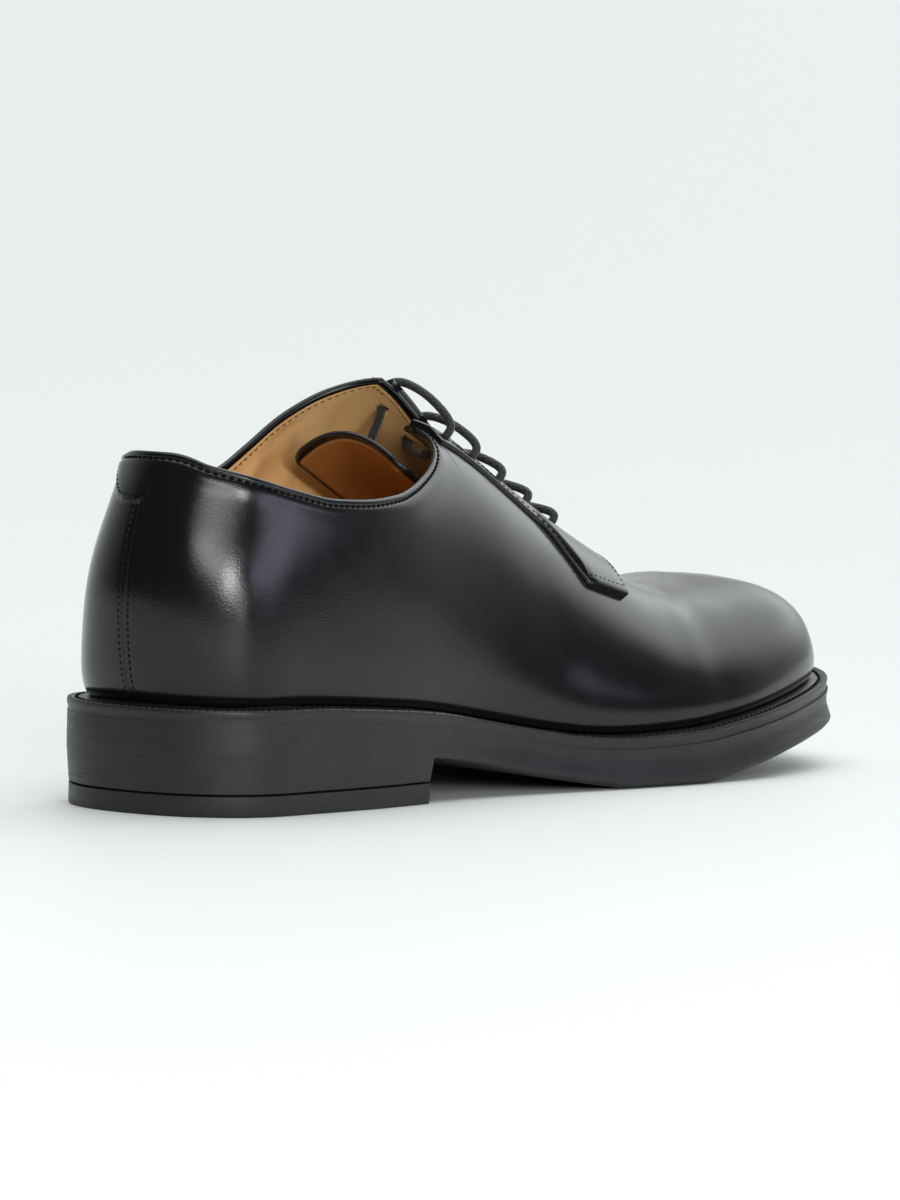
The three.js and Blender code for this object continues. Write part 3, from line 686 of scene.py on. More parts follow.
def stitch_row(path, outward, pitch, length, radius, lift=0.0):
    """Vertices and faces of the stitches of one row."""
    path, outward = np.asarray(path, float), np.asarray(outward, float)
    at, walked = even_places(path, pitch)
    sides = 6
    shares = np.array([-1, -0.8, -0.3, 0.3, 0.8, 1])
    widths = np.array([0.35, 0.85, 1, 1, 0.85, 0.35])
    dips = 1.1 * np.abs(shares) ** 3
    centre = along(path, walked, at)
    ahead = along(path, walked, np.minimum(at + 0.2, walked[-1]))
    behind = along(path, walked, np.maximum(at - 0.2, 0))
    tangent = ahead - behind
    tangent /= np.linalg.norm(tangent, axis=1, keepdims=True)
    out = along(outward, walked, at)
    out -= tangent * (out * tangent).sum(1, keepdims=True)
    out /= np.linalg.norm(out, axis=1, keepdims=True)
    side = np.cross(tangent, out)
    angles = np.arange(sides) * 2 * math.pi / sides
    points = []
    for share, width, dip in zip(shares, widths, dips):
        base = centre + tangent * share * length / 2 + out * (lift - dip * radius)
        for angle in angles:
            points.append(base + (side * math.cos(angle) + out * math.sin(angle)) * radius * width)
    rings = len(shares)
    points = np.stack(points, 1)
    local = ring_faces(rings, sides)
    local += [list(range(sides))[::-1], [(rings - 1) * sides + i for i in range(sides)]]
    faces = [[i * rings * sides + v for v in face] for i in range(len(centre)) for face in local]
    return points.reshape(-1, 3), faces


def stitches(name, rows, material, slot):
    """One object for several stitch rows, each a dict for stitch_row."""
    points, faces, total = [], [], 0
    for row in rows:
        p, f = stitch_row(**row)
        faces += [[v + total for v in face] for face in f]
        points.append(p)
        total += len(p)
    return finish_piece(new_object(name, np.concatenate(points), faces), material, slot)


# Upper: columns crowded at the back seam, the collar's corner and the throat's end
def upper_stations():
    steps = [36, 16, 12, 14, 20, 48, 14, 14, 36, 12, 12, 14, 14, 14]
    half = np.concatenate([i + np.arange(n) / n for i, n in enumerate(steps)] + [[LAST_ROW]])
    throat = station_at(THROAT_END)
    half = half[np.abs(half - throat) > 0.015]
    half = np.sort(np.concatenate([half, throat]))
    return np.concatenate([half, ROWS - half[-2:0:-1]])


stations = upper_stations()
columns = Columns(stations)
COUNT = len(stations)
twin = (COUNT - np.arange(COUNT)) % COUNT
station_place = surface(stations, columns.top[:, None])[:, 0]
edge_fade = np.where(columns.closed, 0, np.minimum(1, throat_half(station_place[:, 1]) / THROAT_HALF))


def weld_closed(points, last_ring):
    """Closed columns meet their twins at the centre line."""
    ring = points[:, last_ring]
    both = (ring + ring[twin]) / 2
    points[:, last_ring] = np.where(columns.closed[:, None], both, ring)
    return points


# Relief of the upper: terms in millimetres, added along the normal
def seam_relief(points):
    """Closed back seam: a narrow valley between two soft ridges, under the dog-tail."""
    x, y, z = np.moveaxis(points, -1, 0)
    back = y < 0
    under_tail = smoothstep(dog_tail_line(x) - z, 0, 0.8)
    valley = -0.45 * np.exp(-(x / 0.45) ** 2)
    ridge = 0.22 * np.exp(-((np.abs(x) - 1.1) / 0.55) ** 2)
    rows = -0.25 * np.exp(-((np.abs(x) - SEAM_ROW) / 0.35) ** 2)
    return np.where(back, (valley + ridge + rows) * under_tail, 0)


DOG_TAIL_RISE = 0.6
DOG_TAIL_END = 2.2


def dog_tail_line(x):
    """Height of the dog-tail's edge: level beside the seam, then up to the collar inwards."""
    return 86.4 + 13.5 * smoothstep(-x, 7, 27) + 0.8 * np.exp(-((x - 2.4) / 1.5) ** 2)


def tail_relief(points):
    """Dog-tail: the collar's piece laps over the seam's end with a cut edge."""
    x, y, z = np.moveaxis(points, -1, 0)
    near = smoothstep(-y, 8, 12)
    above = smoothstep(z - dog_tail_line(x), -0.22, 0.12)
    outer_end = 1 - smoothstep(x, DOG_TAIL_END, DOG_TAIL_END + 0.5)
    fade = 1 - smoothstep(z - dog_tail_line(x), 3, 11)
    row = -0.12 * np.exp(-((z - dog_tail_line(x) - 1.3) / 0.3) ** 2)
    return near * above * outer_end * (DOG_TAIL_RISE * fade + row)


def collar_relief(distance):
    """Collar: a folded edge with the stitch row sunk below it."""
    groove = -0.26 * np.exp(-((distance - COLLAR_STITCH) / 0.5) ** 2)
    pad = 0.16 * np.exp(-((distance - 4.4) / 1.6) ** 2)
    return np.where(columns.closed[:, None], 0, groove + pad)


def vamp_relief(points):
    """Soft troughs and ridges: the flex lines and the waist's pull."""
    x, y, _ = np.moveaxis(points, -1, 0)
    total = np.zeros_like(x)
    # Each line: place along, slope across, width, height, and where across it lies and how far
    for place, slope, width, height, centre, reach in (
            (187, -0.30, 5.0, -0.30, 14, 26),
            (197, -0.22, 5.5, 0.16, 10, 24),
            (176, -0.35, 4.5, 0.14, 26, 20),
            (186, 0.30, 5.0, -0.25, -26, 20),
            (112, 0.10, 9.0, -0.25, 38, 16)):
        line = y - place - slope * (x - centre)
        total += height * np.exp(-(line / width) ** 2) * np.exp(-((x - centre) / reach) ** 2)
    return total


def upper_relief(points, distance):
    return seam_relief(points) + tail_relief(points) + collar_relief(distance) + vamp_relief(points)


NEAR = np.array([1.0, 1.35, 1.65, 1.9, 2.1, 2.3, 2.55, 2.9, 3.4, 4.2, 5.3, 6.8, 8.6, 10.5])
REST = 64


def distances_down(near, rest, stop=0.0):
    """Ring distances below the cut line for each column, from the edge to the feather."""
    left = columns.length - stop - near[-1]
    steps = (np.arange(1, rest + 1) / rest)[None, :] * left[:, None]
    near = np.broadcast_to(near, (COUNT, len(near)))
    return np.concatenate([near, near[:, -1:] + steps], 1)


def column_faces(rings, open_rings, flip=False):
    """Faces between the rings of all columns; open rings leave out the closed columns."""
    here = np.arange(COUNT)
    after = (here + 1) % COUNT
    shut = columns.closed & np.roll(columns.closed, -1)
    faces = []
    for ring in range(rings):
        above = (ring + 1) % rings * COUNT
        quad = np.stack([ring * COUNT + here, ring * COUNT + after, above + after, above + here], 1)
        if flip:
            quad = quad[:, [0, 3, 2, 1]]
        faces += quad[~shut if ring in open_rings else slice(None)].tolist()
    return faces


def upper_leather():
    """The leather: outside face, folded edge and the start of the inside face."""
    turns = np.radians([0, 22, 45, 67, 90, 112, 135, 157, 180])
    radius = FOLD / 2
    fade = edge_fade[:, None]
    fold_distance = radius * (1 - np.sin(turns))[None, :] * fade
    fold_depth = radius * (1 - np.cos(turns))[None, :] * np.ones((COUNT, 1))
    outside = distances_down(NEAR, REST)
    outside[:, :len(NEAR)] = np.where(columns.closed[:, None], outside[:, :len(NEAR)] - NEAR[0],
                                      outside[:, :len(NEAR)])
    outside[:, 0] = fold_distance[:, 0]
    face = columns.point(outside)
    face = face + columns_normals(outside) * upper_relief(face, outside)[..., None]
    face = weld_closed(face, 0)
    fold = columns.point(fold_distance[:, 1:], fold_depth[:, 1:])
    fold = weld_closed(fold, -1)
    inside_near = np.array([2.4, 3.0])
    inside = distances_down(inside_near, 24, 0.5)
    inside_depth = np.concatenate([[FOLD, LEATHER], np.full(24, LEATHER)])
    back = columns.point(inside, np.broadcast_to(inside_depth, inside.shape))
    rows = np.concatenate([face[:, ::-1], fold, back], 1)
    first_fold = face.shape[1] - 1
    open_rings = range(first_fold, first_fold + fold.shape[1])
    faces = column_faces(rows.shape[1], open_rings)
    return weld(new_object("upper_leather", rows.transpose(1, 0, 2).reshape(-1, 3), faces))


def columns_normals(distance):
    return normals(columns.u, columns.share(distance))


upper = upper_leather()


def lining_relief(points):
    """Soft wrinkles of the quarter lining."""
    x, y, z = np.moveaxis(points, -1, 0)
    total = np.zeros_like(x)
    for place, height, tilt, width, rise in (
            (44, 96, 0.9, 3.2, 0.7), (52, 90, 0.5, 3.6, -0.8), (60, 99, 1.2, 3.0, 0.6),
            (36, 84, 0.3, 4.0, 0.5), (68, 88, 0.7, 4.5, -0.6)):
        line = (y - place) - tilt * (z - height)
        total += rise * np.exp(-(line / width) ** 2) * np.exp(-((z - height) / 9) ** 2)
    return np.where(x < 0, 1.5 * total, 0.4 * total)


def upper_lining():
    """The lining: from just below the folded edge down to the insole."""
    near = np.array([2.2, 2.35, 2.7, 3.1, 3.5, 3.9, 4.3, 4.8, 5.6, 7.0, 9.0])
    start = np.where(columns.closed, -near[0], 0)[:, None]
    inner = distances_down(near, 44, 2.0)
    inner[:, :len(near)] += start
    soft = smoothstep(inner, 1.8, 3.2)
    stitch = -0.15 * np.exp(-((inner - 3.9) / 0.4) ** 2)
    depth = UPPER_WALL - 0.25 * (1 - soft) + stitch
    face = columns.point(inner, depth)
    depth = depth - lining_relief(face) * smoothstep(inner, 4, 10) * 0.9
    face = weld_closed(columns.point(inner, depth), 0)
    outer = distances_down(np.array([2.3, 3.4]), 20, 2.0)
    outer[:, :2] += np.where(columns.closed, -2.3, 0)[:, None]
    back = weld_closed(columns.point(outer, np.full(outer.shape, LEATHER + 0.06)), 0)
    rows = np.concatenate([face[:, ::-1], back], 1)
    faces = column_faces(rows.shape[1], [face.shape[1] - 1], True)
    return weld(new_object("upper_lining", rows.transpose(1, 0, 2).reshape(-1, 3), faces))


lining = upper_lining()


# Eyelets: holes punched square to the leather, the lace through them
def eyelet(index, outer):
    u = station_at(FIRST_EYELET + index * EYELET_PITCH, outer)
    hole = Columns(u)
    inset = np.array([EYELET_INSET])
    return hole.point(inset)[0, 0], normals(hole.u, hole.share(inset))[0, 0]


eyelets = {side: [eyelet(i, side == "outer") for i in range(EYELET_COUNT)]
           for side in ("outer", "inner")}


def punch():
    """One object of cylinders at the eyelets, used as a cutter."""
    bm = bmesh.new()
    for at, out in eyelets["outer"] + eyelets["inner"]:
        turn = Vector(out).to_track_quat("Z", "Y").to_matrix().to_4x4()
        turn.translation = Vector(at) * MM
        bmesh.ops.create_cone(bm, cap_ends=True, segments=24, radius1=EYELET_RADIUS * MM * 0.8,
                              radius2=EYELET_RADIUS * MM * 0.8, depth=16 * MM, matrix=turn)
    mesh = bpy.data.meshes.new("punch")
    bm.to_mesh(mesh)
    bm.free()
    obj = bpy.data.objects.new("punch", mesh)
    bpy.context.scene.collection.objects.link(obj)
    return obj


def apply_modifiers(obj):
    """Replaces an object's mesh by its evaluated one."""
    depsgraph = bpy.context.evaluated_depsgraph_get()
    mesh = bpy.data.meshes.new_from_object(obj.evaluated_get(depsgraph))
    obj.modifiers.clear()
    obj.data = mesh
    return obj


def cut_holes(obj, cutter):
    modifier = obj.modifiers.new("holes", "BOOLEAN")
    modifier.operation = "DIFFERENCE"
    modifier.object = cutter
    modifier.solver = "EXACT"
    return apply_modifiers(obj)


# Facings: strips along the throat with a square tab, thick edges showing
TAB_START = 135
facing_table = table("place reach", [
    [0.29, 0.80], [0.32, 0.86], [0.36, 0.93], [0.395, 1.04], [0.418, 1.27], [0.430, 1.82],
    [0.443, 2.35], [0.47, 2.28], [0.499, 2.22], [0.508, 1.72], [0.518, 1.26], [0.53, 0.90],
    [0.548, 0.50], [0.562, 0.16],
])


def facing_grid(outer, across):
    """Facing columns at fine places along; across are shares of the way out from the throat."""
    places = facing_table["place"] * SOLE_LENGTH
    fine = np.unique(np.concatenate([places, np.linspace(places[0], places[-1], 150)]))
    reach = np.interp(fine, places, facing_table["reach"]) * FACING_WIDTH
    strip = Columns(station_at(fine, outer))
    distance = FACING_SETBACK + (reach[:, None] - FACING_SETBACK) * across[None, :]
    return strip, distance


def facing_height(y, distance, edge):
    """Top of the facing over the last: full at the tab, skived towards the edge beside the throat."""
    skived = (1 - smoothstep(y, TAB_START - 4, TAB_START + 1)) * smoothstep(distance, edge - 7, edge)
    return FACING_GAP + FACING_THICKNESS * (1 - 0.62 * skived)


def facing(name, outer):
    across = np.concatenate([[0, 0.02, 0.05], np.linspace(0.1, 0.9, 15), [0.95, 0.98, 1]])
    strip, distance = facing_grid(outer, across)
    t = strip.share(distance)
    base, out = surface(strip.u, t), normals(strip.u, t)
    rounding = 0.35
    low = base + out * (GAP * 0.3)
    edge = np.minimum(distance - distance[:, :1], distance[:, -1:] - distance)
    rows = np.arange(len(strip.u))
    length = np.minimum(rows, rows[::-1])[:, None] * 0.55
    near = np.minimum(edge, length)
    drop = rounding * (1 - np.sqrt(np.clip(1 - (1 - np.clip(near / 0.6, 0, 1)) ** 2, 0, 1)))
    groove = 0.16 * np.exp(-((distance[:, -1:] - distance - FACING_ROW) / 0.4) ** 2)
    body = facing_height(base[..., 1], distance, distance[:, -1:])
    high = base + out * (body - drop - groove)[..., None]
    n, m = base.shape[:2]
    points = np.concatenate([low.reshape(-1, 3), high.reshape(-1, 3)])
    faces = []
    top = n * m
    for i in range(n - 1):
        a = i * m + np.arange(m - 1)
        faces += np.stack([top + a, top + a + m, top + a + m + 1, top + a + 1], 1).tolist()
        faces += np.stack([a, a + 1, a + m + 1, a + m], 1).tolist()
        faces += [[i * m, i * m + m, top + i * m + m, top + i * m],
                  [i * m + m - 1, top + i * m + m - 1, top + i * m + 2 * m - 1, i * m + 2 * m - 1]]
    end = (n - 1) * m
    for j in range(m - 1):
        faces += [[j, top + j, top + j + 1, j + 1],
                  [end + j, end + j + 1, top + end + j + 1, top + end + j]]
    return sharpen(weld(new_object(name, points, faces)), 50)


facing_outer = facing("facing_outer_leather", True)
facing_inner = facing("facing_inner_leather", False)

cutter = punch()
for holed in (upper, lining, facing_outer, facing_inner):
    cut_holes(holed, cutter)
bpy.data.objects.remove(cutter)

finish_piece(upper, black_leather, "upper_leather", "upper")
finish_piece(lining, lining_tan, "lining_leather")
finish_piece(facing_outer, black_leather, "upper_leather", "facing_outer")
finish_piece(facing_inner, black_leather, "upper_leather", "facing_inner")


# Tongue: leather with a turned edge over a tan lining, arched and sunk at its free end
tongue_table = table("place half drop arch", [
    [0.205, 0.82, 0.66, 0.50], [0.208, 0.95, 0.67, 0.54], [0.215, 1.03, 0.70, 0.56],
    [0.24, 1.03, 0.82, 0.60], [0.28, 1.00, 0.95, 0.66], [0.313, 0.98, 0.92, 0.75],
    [0.34, 0.96, 0.75, 0.82], [0.367, 0.94, 0.51, 0.90], [0.40, 0.90, 0.25, 1.00],
    [0.45, 0.82, 0.08, 1.00], [0.50, 0.74, 0.00, 1.00], [0.56, 0.66, 0.00, 1.00],
    [0.61, 0.60, 0.00, 1.00],
])


def tongue_layer(depth, inset, fine, across):
    """Points of one layer of the tongue, drawn in by inset at its free end and sides."""
    place = tongue_table["place"] * SOLE_LENGTH
    half = profile(place, tongue_table["half"] * TONGUE_HALF)(fine) - inset
    drop = profile(place, tongue_table["drop"] * TONGUE_DROP)(fine)
    arch = profile(place, tongue_table["arch"])(fine)[:, None]
    outer, inner = station_at(fine), station_at(fine, False)

    def under(station, distance):
        walk = Columns(station)
        whole = walk.walked[:, -1]
        t = np.array([np.interp(w - d, row, walk.shares)
                      for w, d, row in zip(whole, distance, walk.walked)])[:, None]
        return (surface(station, t) - normals(station, t) * depth)[:, 0]

    top = under(outer, np.zeros(len(fine)))
    top[:, 0] = centre_line(fine)
    side, other = under(outer, half), under(inner, half)
    a = across[None, :]
    low = np.where(a < 0, np.minimum(side[:, 2], other[:, 2])[:, None], side[:, 2][:, None])
    x = top[:, 0][:, None] + a * (side[:, 0] - top[:, 0])[:, None]
    y = top[:, 1][:, None] + np.abs(a) * (side[:, 1] - top[:, 1])[:, None]
    z = top[:, 2][:, None] + a * a * arch * (low - top[:, 2][:, None]) - drop[:, None]
    return np.stack([x, y, z], -1)


def tongue_sheet(name, upper_depth, lower_depth, inset, first, round_edge):
    across = np.linspace(1, -1, 41)
    places = tongue_table["place"] * SOLE_LENGTH
    fine = np.concatenate([np.linspace(places[0] + first, places[4], 40)[:-1],
                           np.linspace(places[4], places[-1], 50)])
    middle = (upper_depth + lower_depth) / 2
    layers = [tongue_layer(upper_depth, inset + round_edge, fine, across),
              tongue_layer(middle, inset, fine, across),
              tongue_layer(lower_depth, inset + round_edge, fine, across)]
    layers[1][0, :, 1] -= round_edge
    n, m = len(fine), len(across)
    points = np.concatenate([layer.reshape(-1, 3) for layer in layers])
    faces = []
    size = n * m
    for i in range(n - 1):
        a = i * m + np.arange(m - 1)
        faces += np.stack([a, a + m, a + m + 1, a + 1], 1).tolist()
        b = 2 * size + a
        faces += np.stack([b, b + 1, b + m + 1, b + m], 1).tolist()
        for low, high in ((0, size), (size, 2 * size)):
            for j, flip in ((0, False), (m - 1, True)):
                quad = [low + i * m + j, high + i * m + j, high + (i + 1) * m + j, low + (i + 1) * m + j]
                faces.append(quad[::-1] if flip else quad)
    end = (n - 1) * m
    for low, high in ((0, size), (size, 2 * size)):
        for j in range(m - 1):
            faces.append([low + j, low + j + 1, high + j + 1, high + j])
            faces.append([low + end + j, high + end + j, high + end + j + 1, low + end + j + 1])
    return weld(new_object(name, points, faces))


TONGUE_TOP = UPPER_WALL + TONGUE_GAP
tongue_leather = tongue_sheet("tongue_leather", TONGUE_TOP, TONGUE_TOP + 1.6, 0, 0, 0.35)
tongue_lining = tongue_sheet("tongue_lining", TONGUE_TOP + 1.3, TONGUE_TOP + TONGUE_THICKNESS,
                             TURNED_EDGE, TURNED_EDGE, 0.15)
finish_piece(tongue_leather, black_leather, "upper_leather", "tongue")
# The tongue lining takes the darker tan copy, which is painted shade
finish_piece(tongue_lining, tongue_tan_painted_shade, "lining_leather")


# Lace: one round braid, over the throat in straight bars and slanting back under the facings
def lace_path():
    over = FACING_GAP + FACING_THICKNESS + LACE_RISE
    points = []
    for i in range(EYELET_COUNT):
        inner_at, inner_out = eyelets["inner"][i]
        outer_at, outer_out = eyelets["outer"][i]
        middle = (inner_at + outer_at) / 2
        middle[2] = max(inner_at[2], outer_at[2]) + over
        inner_top, outer_top = inner_at + inner_out * over, outer_at + outer_out * over
        below = UPPER_WALL + LACE_RADIUS + 0.1
        if i == 0:
            start = inner_at - inner_out * below
            points += [start + np.array([1.5, -9, -12]), start + np.array([0.5, -5, -6.5]),
                       start + np.array([0, -1.5, -2])]
        else:
            points.append(inner_at - inner_out * below)
        points += [
            inner_at, inner_at + inner_out * over * 0.75,
            middle + (inner_top - middle) * 0.45, middle + (outer_top - middle) * 0.45,
            outer_at + outer_out * over * 0.75, outer_at, outer_at - outer_out * below]
    last_at, last_out = eyelets["outer"][-1]
    points.append(last_at - last_out * (UPPER_WALL + LACE_RADIUS + 0.1) + np.array([-3, 4, -1.5]))
    return np.array(points)


def smooth_path(points, per_span):
    """Centripetal Catmull-Rom curve through the points."""
    p = np.concatenate([[2 * points[0] - points[1]], points, [2 * points[-1] - points[-2]]])
    out = []
    for i in range(1, len(p) - 2):
        p0, p1, p2, p3 = p[i - 1:i + 3]
        t0 = 0
        t1 = t0 + np.linalg.norm(p1 - p0) ** 0.5
        t2 = t1 + np.linalg.norm(p2 - p1) ** 0.5
        t3 = t2 + np.linalg.norm(p3 - p2) ** 0.5
        for t in np.linspace(t1, t2, per_span, endpoint=False):
            a1 = p0 * (t1 - t) / (t1 - t0) + p1 * (t - t0) / (t1 - t0)
            a2 = p1 * (t2 - t) / (t2 - t1) + p2 * (t - t1) / (t2 - t1)
            a3 = p2 * (t3 - t) / (t3 - t2) + p3 * (t - t2) / (t3 - t2)
            b1 = a1 * (t2 - t) / (t2 - t0) + a2 * (t - t0) / (t2 - t0)
            b2 = a2 * (t3 - t) / (t3 - t1) + a3 * (t - t1) / (t3 - t1)
            out.append(b1 * (t2 - t) / (t2 - t1) + b2 * (t - t1) / (t2 - t1))
    out.append(points[-1])
    return np.array(out)


def cord_mesh(name, path, radius, sides=14):
    """Round tube along a path, with a map of turns round it and braid pitches along it."""
    tangent = np.gradient(path, axis=0)
    tangent /= np.linalg.norm(tangent, axis=1, keepdims=True)
    side = np.cross(tangent[0], [0, 0, 1.0])
    sides_list = []
    for t in tangent:
        side = side - t * (side @ t)
        side /= np.linalg.norm(side)
        sides_list.append(side)
    side = np.array(sides_list)
    up = np.cross(tangent, side)
    angles = np.arange(sides) * 2 * math.pi / sides
    rings = [path + (side * math.cos(a) + up * math.sin(a)) * radius for a in angles]
    points = np.stack(rings, 1).reshape(-1, 3)
    faces = ring_faces(len(path), sides)
    faces += [list(range(sides))[::-1], [(len(path) - 1) * sides + i for i in range(sides)]]
    obj = new_object(name, points, faces)
    walked = np.concatenate([[0], np.cumsum(np.linalg.norm(np.diff(path, axis=0), axis=1))])
    layer = obj.data.uv_layers.new(name="run")
    pitch = 2.6
    for polygon in obj.data.polygons:
        corners = [obj.data.loops[i].vertex_index for i in polygon.loop_indices]
        wraps = max(v % sides for v in corners) - min(v % sides for v in corners) > sides / 2
        for i, v in zip(polygon.loop_indices, corners):
            turn = v % sides
            if wraps and turn == 0:
                turn = sides
            layer.data[i].uv = (turn / sides, walked[v // sides] / pitch)
    return obj


lace = cord_mesh("lace", smooth_path(lace_path(), 8), LACE_RADIUS)
finish_piece(lace, braid, "lace_cord", *[f"lace_bar_{i + 1}" for i in range(EYELET_COUNT)])


# Sole pieces: rings round the edge curve, drawn in by an inset
FINE = 16
sole_u = np.arange(ROWS * FINE) / FINE


def edge_ring(inset, height, u=sole_u):
    place = edge_curve(u % ROWS)
    before, after = edge_curve((u - 0.05) % ROWS), edge_curve((u + 0.05) % ROWS)
    inward = np.stack([before[:, 1] - after[:, 1], after[:, 0] - before[:, 0]], 1)
    inward /= np.linalg.norm(inward, axis=1, keepdims=True)
    reach = inset(place[:, 0], place[:, 1]) if callable(inset) else np.full(len(u), float(inset))
    moved = place + inward * reach[:, None]
    z = height(moved[:, 0], moved[:, 1]) if callable(height) else np.full(len(u), float(height))
    return np.concatenate([moved, z[:, None]], 1)


def stacked(name, rings, capped, smooth_angle):
    count = len(rings[0])
    faces = ring_faces(len(rings), count, capped=capped)
    if not capped:
        top = (len(rings) - 1) * count
        here = np.arange(count)
        after = (here + 1) % count
        faces += np.stack([top + here, top + after, after, here], 1).tolist()
    return sharpen(weld(new_object(name, np.concatenate(rings), faces)), smooth_angle)


def past_breast(y):
    return smoothstep(y, BREAST, BREAST + FLARE_RUN)


def outsole():
    ring_top = WELT_THICKNESS + GAP

    def side_height(share):
        def height(x, y):
            low = sole_bottom(x, y)
            return low + share * (welt_top(x, y) - ring_top + GAP - low)
        return height

    def out_by(shape):
        return lambda _, y: -SOLE_FLARE * shape * past_breast(y)

    def radius(y):
        return HEEL_ROUNDING + (EDGE_ROUNDING - HEEL_ROUNDING) * past_breast(y)

    def rounded(turn):
        def inset(_, y):
            return radius(y) * (1 - math.sin(turn)) - SOLE_FLARE * past_breast(y) * math.sin(turn)

        def height(x, y):
            return sole_bottom(x, y) + radius(y) * 0.8 * (1 - math.cos(turn))
        return edge_ring(inset, height)

    rings = [edge_ring(inset, sole_bottom) for inset in (30, 24, 18, 12, 7, 4)]
    rings += [rounded(math.radians(a)) for a in (0, 18, 36, 54, 72, 90)]
    for share, shape in ((0.34, 0.62), (0.44, 0.34), (0.56, 0.12), (0.68, 0.0), (0.80, 0.02),
                         (0.90, 0.12), (1.0, 0.28)):
        rings.append(edge_ring(out_by(shape), side_height(share)))
    rings.append(edge_ring(WELT_RIB, side_height(1.0)))
    rings.append(edge_ring(WELT_RIB + GAP, lambda x, y: welt_top(x, y) - GAP))
    return stacked("outsole_rubber", rings, True, 40)


def welt_lip(y):
    """Height of the welt's lip: taller round the heel, thin along the forefoot."""
    return 2.3 - 0.9 * smoothstep(y, BREAST - 20, BREAST + 60)


def welt():
    fine = np.arange(ROWS * 40) / 40
    place = edge_curve(fine)
    walked = np.cumsum(np.linalg.norm(place - np.roll(place, 1, 0), axis=1))
    notch = 0.5 - 0.5 * np.cos(walked / NOTCH_PITCH * 2 * math.pi)
    notch = notch ** 3

    def ring(inset, height, cut=0.0):
        made = edge_ring(inset, height, fine)
        made[:, 2] -= cut * notch
        return made

    def below(share):
        return lambda x, y: welt_top(x, y) - share * welt_lip(y)

    def low(drop):
        return lambda x, y: welt_top(x, y) - drop

    rings = [
        ring(WELT_RIB, low(WELT_THICKNESS)),
        ring(0.15, low(WELT_THICKNESS)),
        ring(0.15, below(1.12)),
        ring(0.1, below(1.0)),
        ring(-0.12, below(0.8)),
        ring(-0.12, below(0.35), 0.05),
        ring(0.0, below(0.12), 0.2),
        ring(0.35, low(0.02), 0.3),
        ring(1.0, low(0.0), 0.2),
        ring(1.5, low(0.1)),
        ring(2.0, low(0.4)),
        ring(2.8, low(0.4)),
        ring(3.2, low(0.1)),
        ring(4.4, welt_top),
        ring(5.0, low(-0.28)),
        ring(8.4, low(-0.28)),
        ring(9.0, welt_top),
        ring(WELT_RIB, welt_top),
    ]
    return stacked("welt_strip", rings, False, 45)


def insole():
    inset = FEATHER_MARGIN + UPPER_WALL + 2 * GAP

    def top(drop):
        return lambda x, y: welt_top(x, y) + GAP + INSOLE_THICKNESS - drop

    rings = [
        edge_ring(inset, lambda x, y: welt_top(x, y) + GAP),
        edge_ring(inset - 0.4, top(0.9)),
        edge_ring(inset, top(0.35)),
        edge_ring(inset + 0.9, top(0.05)),
        edge_ring(inset + 4, top(0.15)),
        edge_ring(inset + 9, top(0.5)),
        edge_ring(inset + 16, top(0.65)),
    ]
    return stacked("insole_leather", rings, True, 60)


def heel_ring(inset, height):
    reach = float(np.interp(BREAST, edge_curve(np.linspace(3, 7, 400))[:, 1], np.linspace(3, 7, 400)))
    steps = 64
    u = reach * np.arange(-steps, steps + 1) / steps
    ring = edge_ring(inset, height, u)
    for end in (0, -1):
        ring[end, 1] = BREAST - min(inset, HEEL_TAPER)
        ring[end, 2] = height(ring[end, 0], ring[end, 1]) if callable(height) else height
    return ring


def heel_piece(name, rings, smooth_angle):
    """Heel rings closed by the straight breast."""
    count = len(rings[0])
    faces = ring_faces(len(rings), count)
    top = (len(rings) - 1) * count
    half = (count - 1) // 2
    for i in range(half):
        low, high = half - i, half + i
        faces.append([low, high, high + 1, low - 1][::-1])
        faces.append([top + low, top + high, top + high + 1, top + low - 1])
    return sharpen(weld(new_object(name, np.concatenate(rings), faces)), smooth_angle)


def heel_stack():
    low = LIFT_THICKNESS + GAP

    def between(share):
        return lambda x, y: low + share * (sole_bottom(x, y) - low)

    rings = [heel_ring(HEEL_TAPER + 0.4, low), heel_ring(HEEL_TAPER, low + 0.2)]
    rings += [heel_ring(HEEL_TAPER * (1 - share), between(share)) for share in (0.3, 0.6, 0.9)]
    rings.append(heel_ring(0.0, lambda x, y: sole_bottom(x, y) - 0.02))
    return heel_piece("heel_block", rings, 30)


def heel_lift():
    rings = [
        heel_ring(HEEL_TAPER + 0.7, 0.0),
        heel_ring(HEEL_TAPER + 0.2, 0.2),
        heel_ring(HEEL_TAPER, 0.7),
        heel_ring(HEEL_TAPER, LIFT_THICKNESS - 0.25),
        heel_ring(HEEL_TAPER + 0.5, LIFT_THICKNESS),
    ]
    return heel_piece("heel_lift_rubber", rings, 30)


finish_piece(outsole(), sole_black, "sole_rubber", "outsole")
finish_piece(welt(), welt_black, "sole_rubber", "welt")
finish_piece(insole(), lining_tan, "lining_leather", "insole")
finish_piece(heel_stack(), sole_black, "sole_rubber", "heel_stack")
finish_piece(heel_lift(), sole_black, "sole_rubber", "heel_top_lift")


# Stitch rows
def collar_row(distance, depth, inside):
    """Row round the collar and down both sides of the throat's start."""
    start = float(station_at(THROAT_START + 4)[0])
    u = np.linspace(-start, start, 900) % ROWS
    walk = Columns(u)
    reach = np.array([distance])
    path = walk.point(reach, np.full((len(u), 1), depth))[:, 0]
    out = normals(walk.u, walk.share(reach))[:, 0]
    return path, -out if inside else out


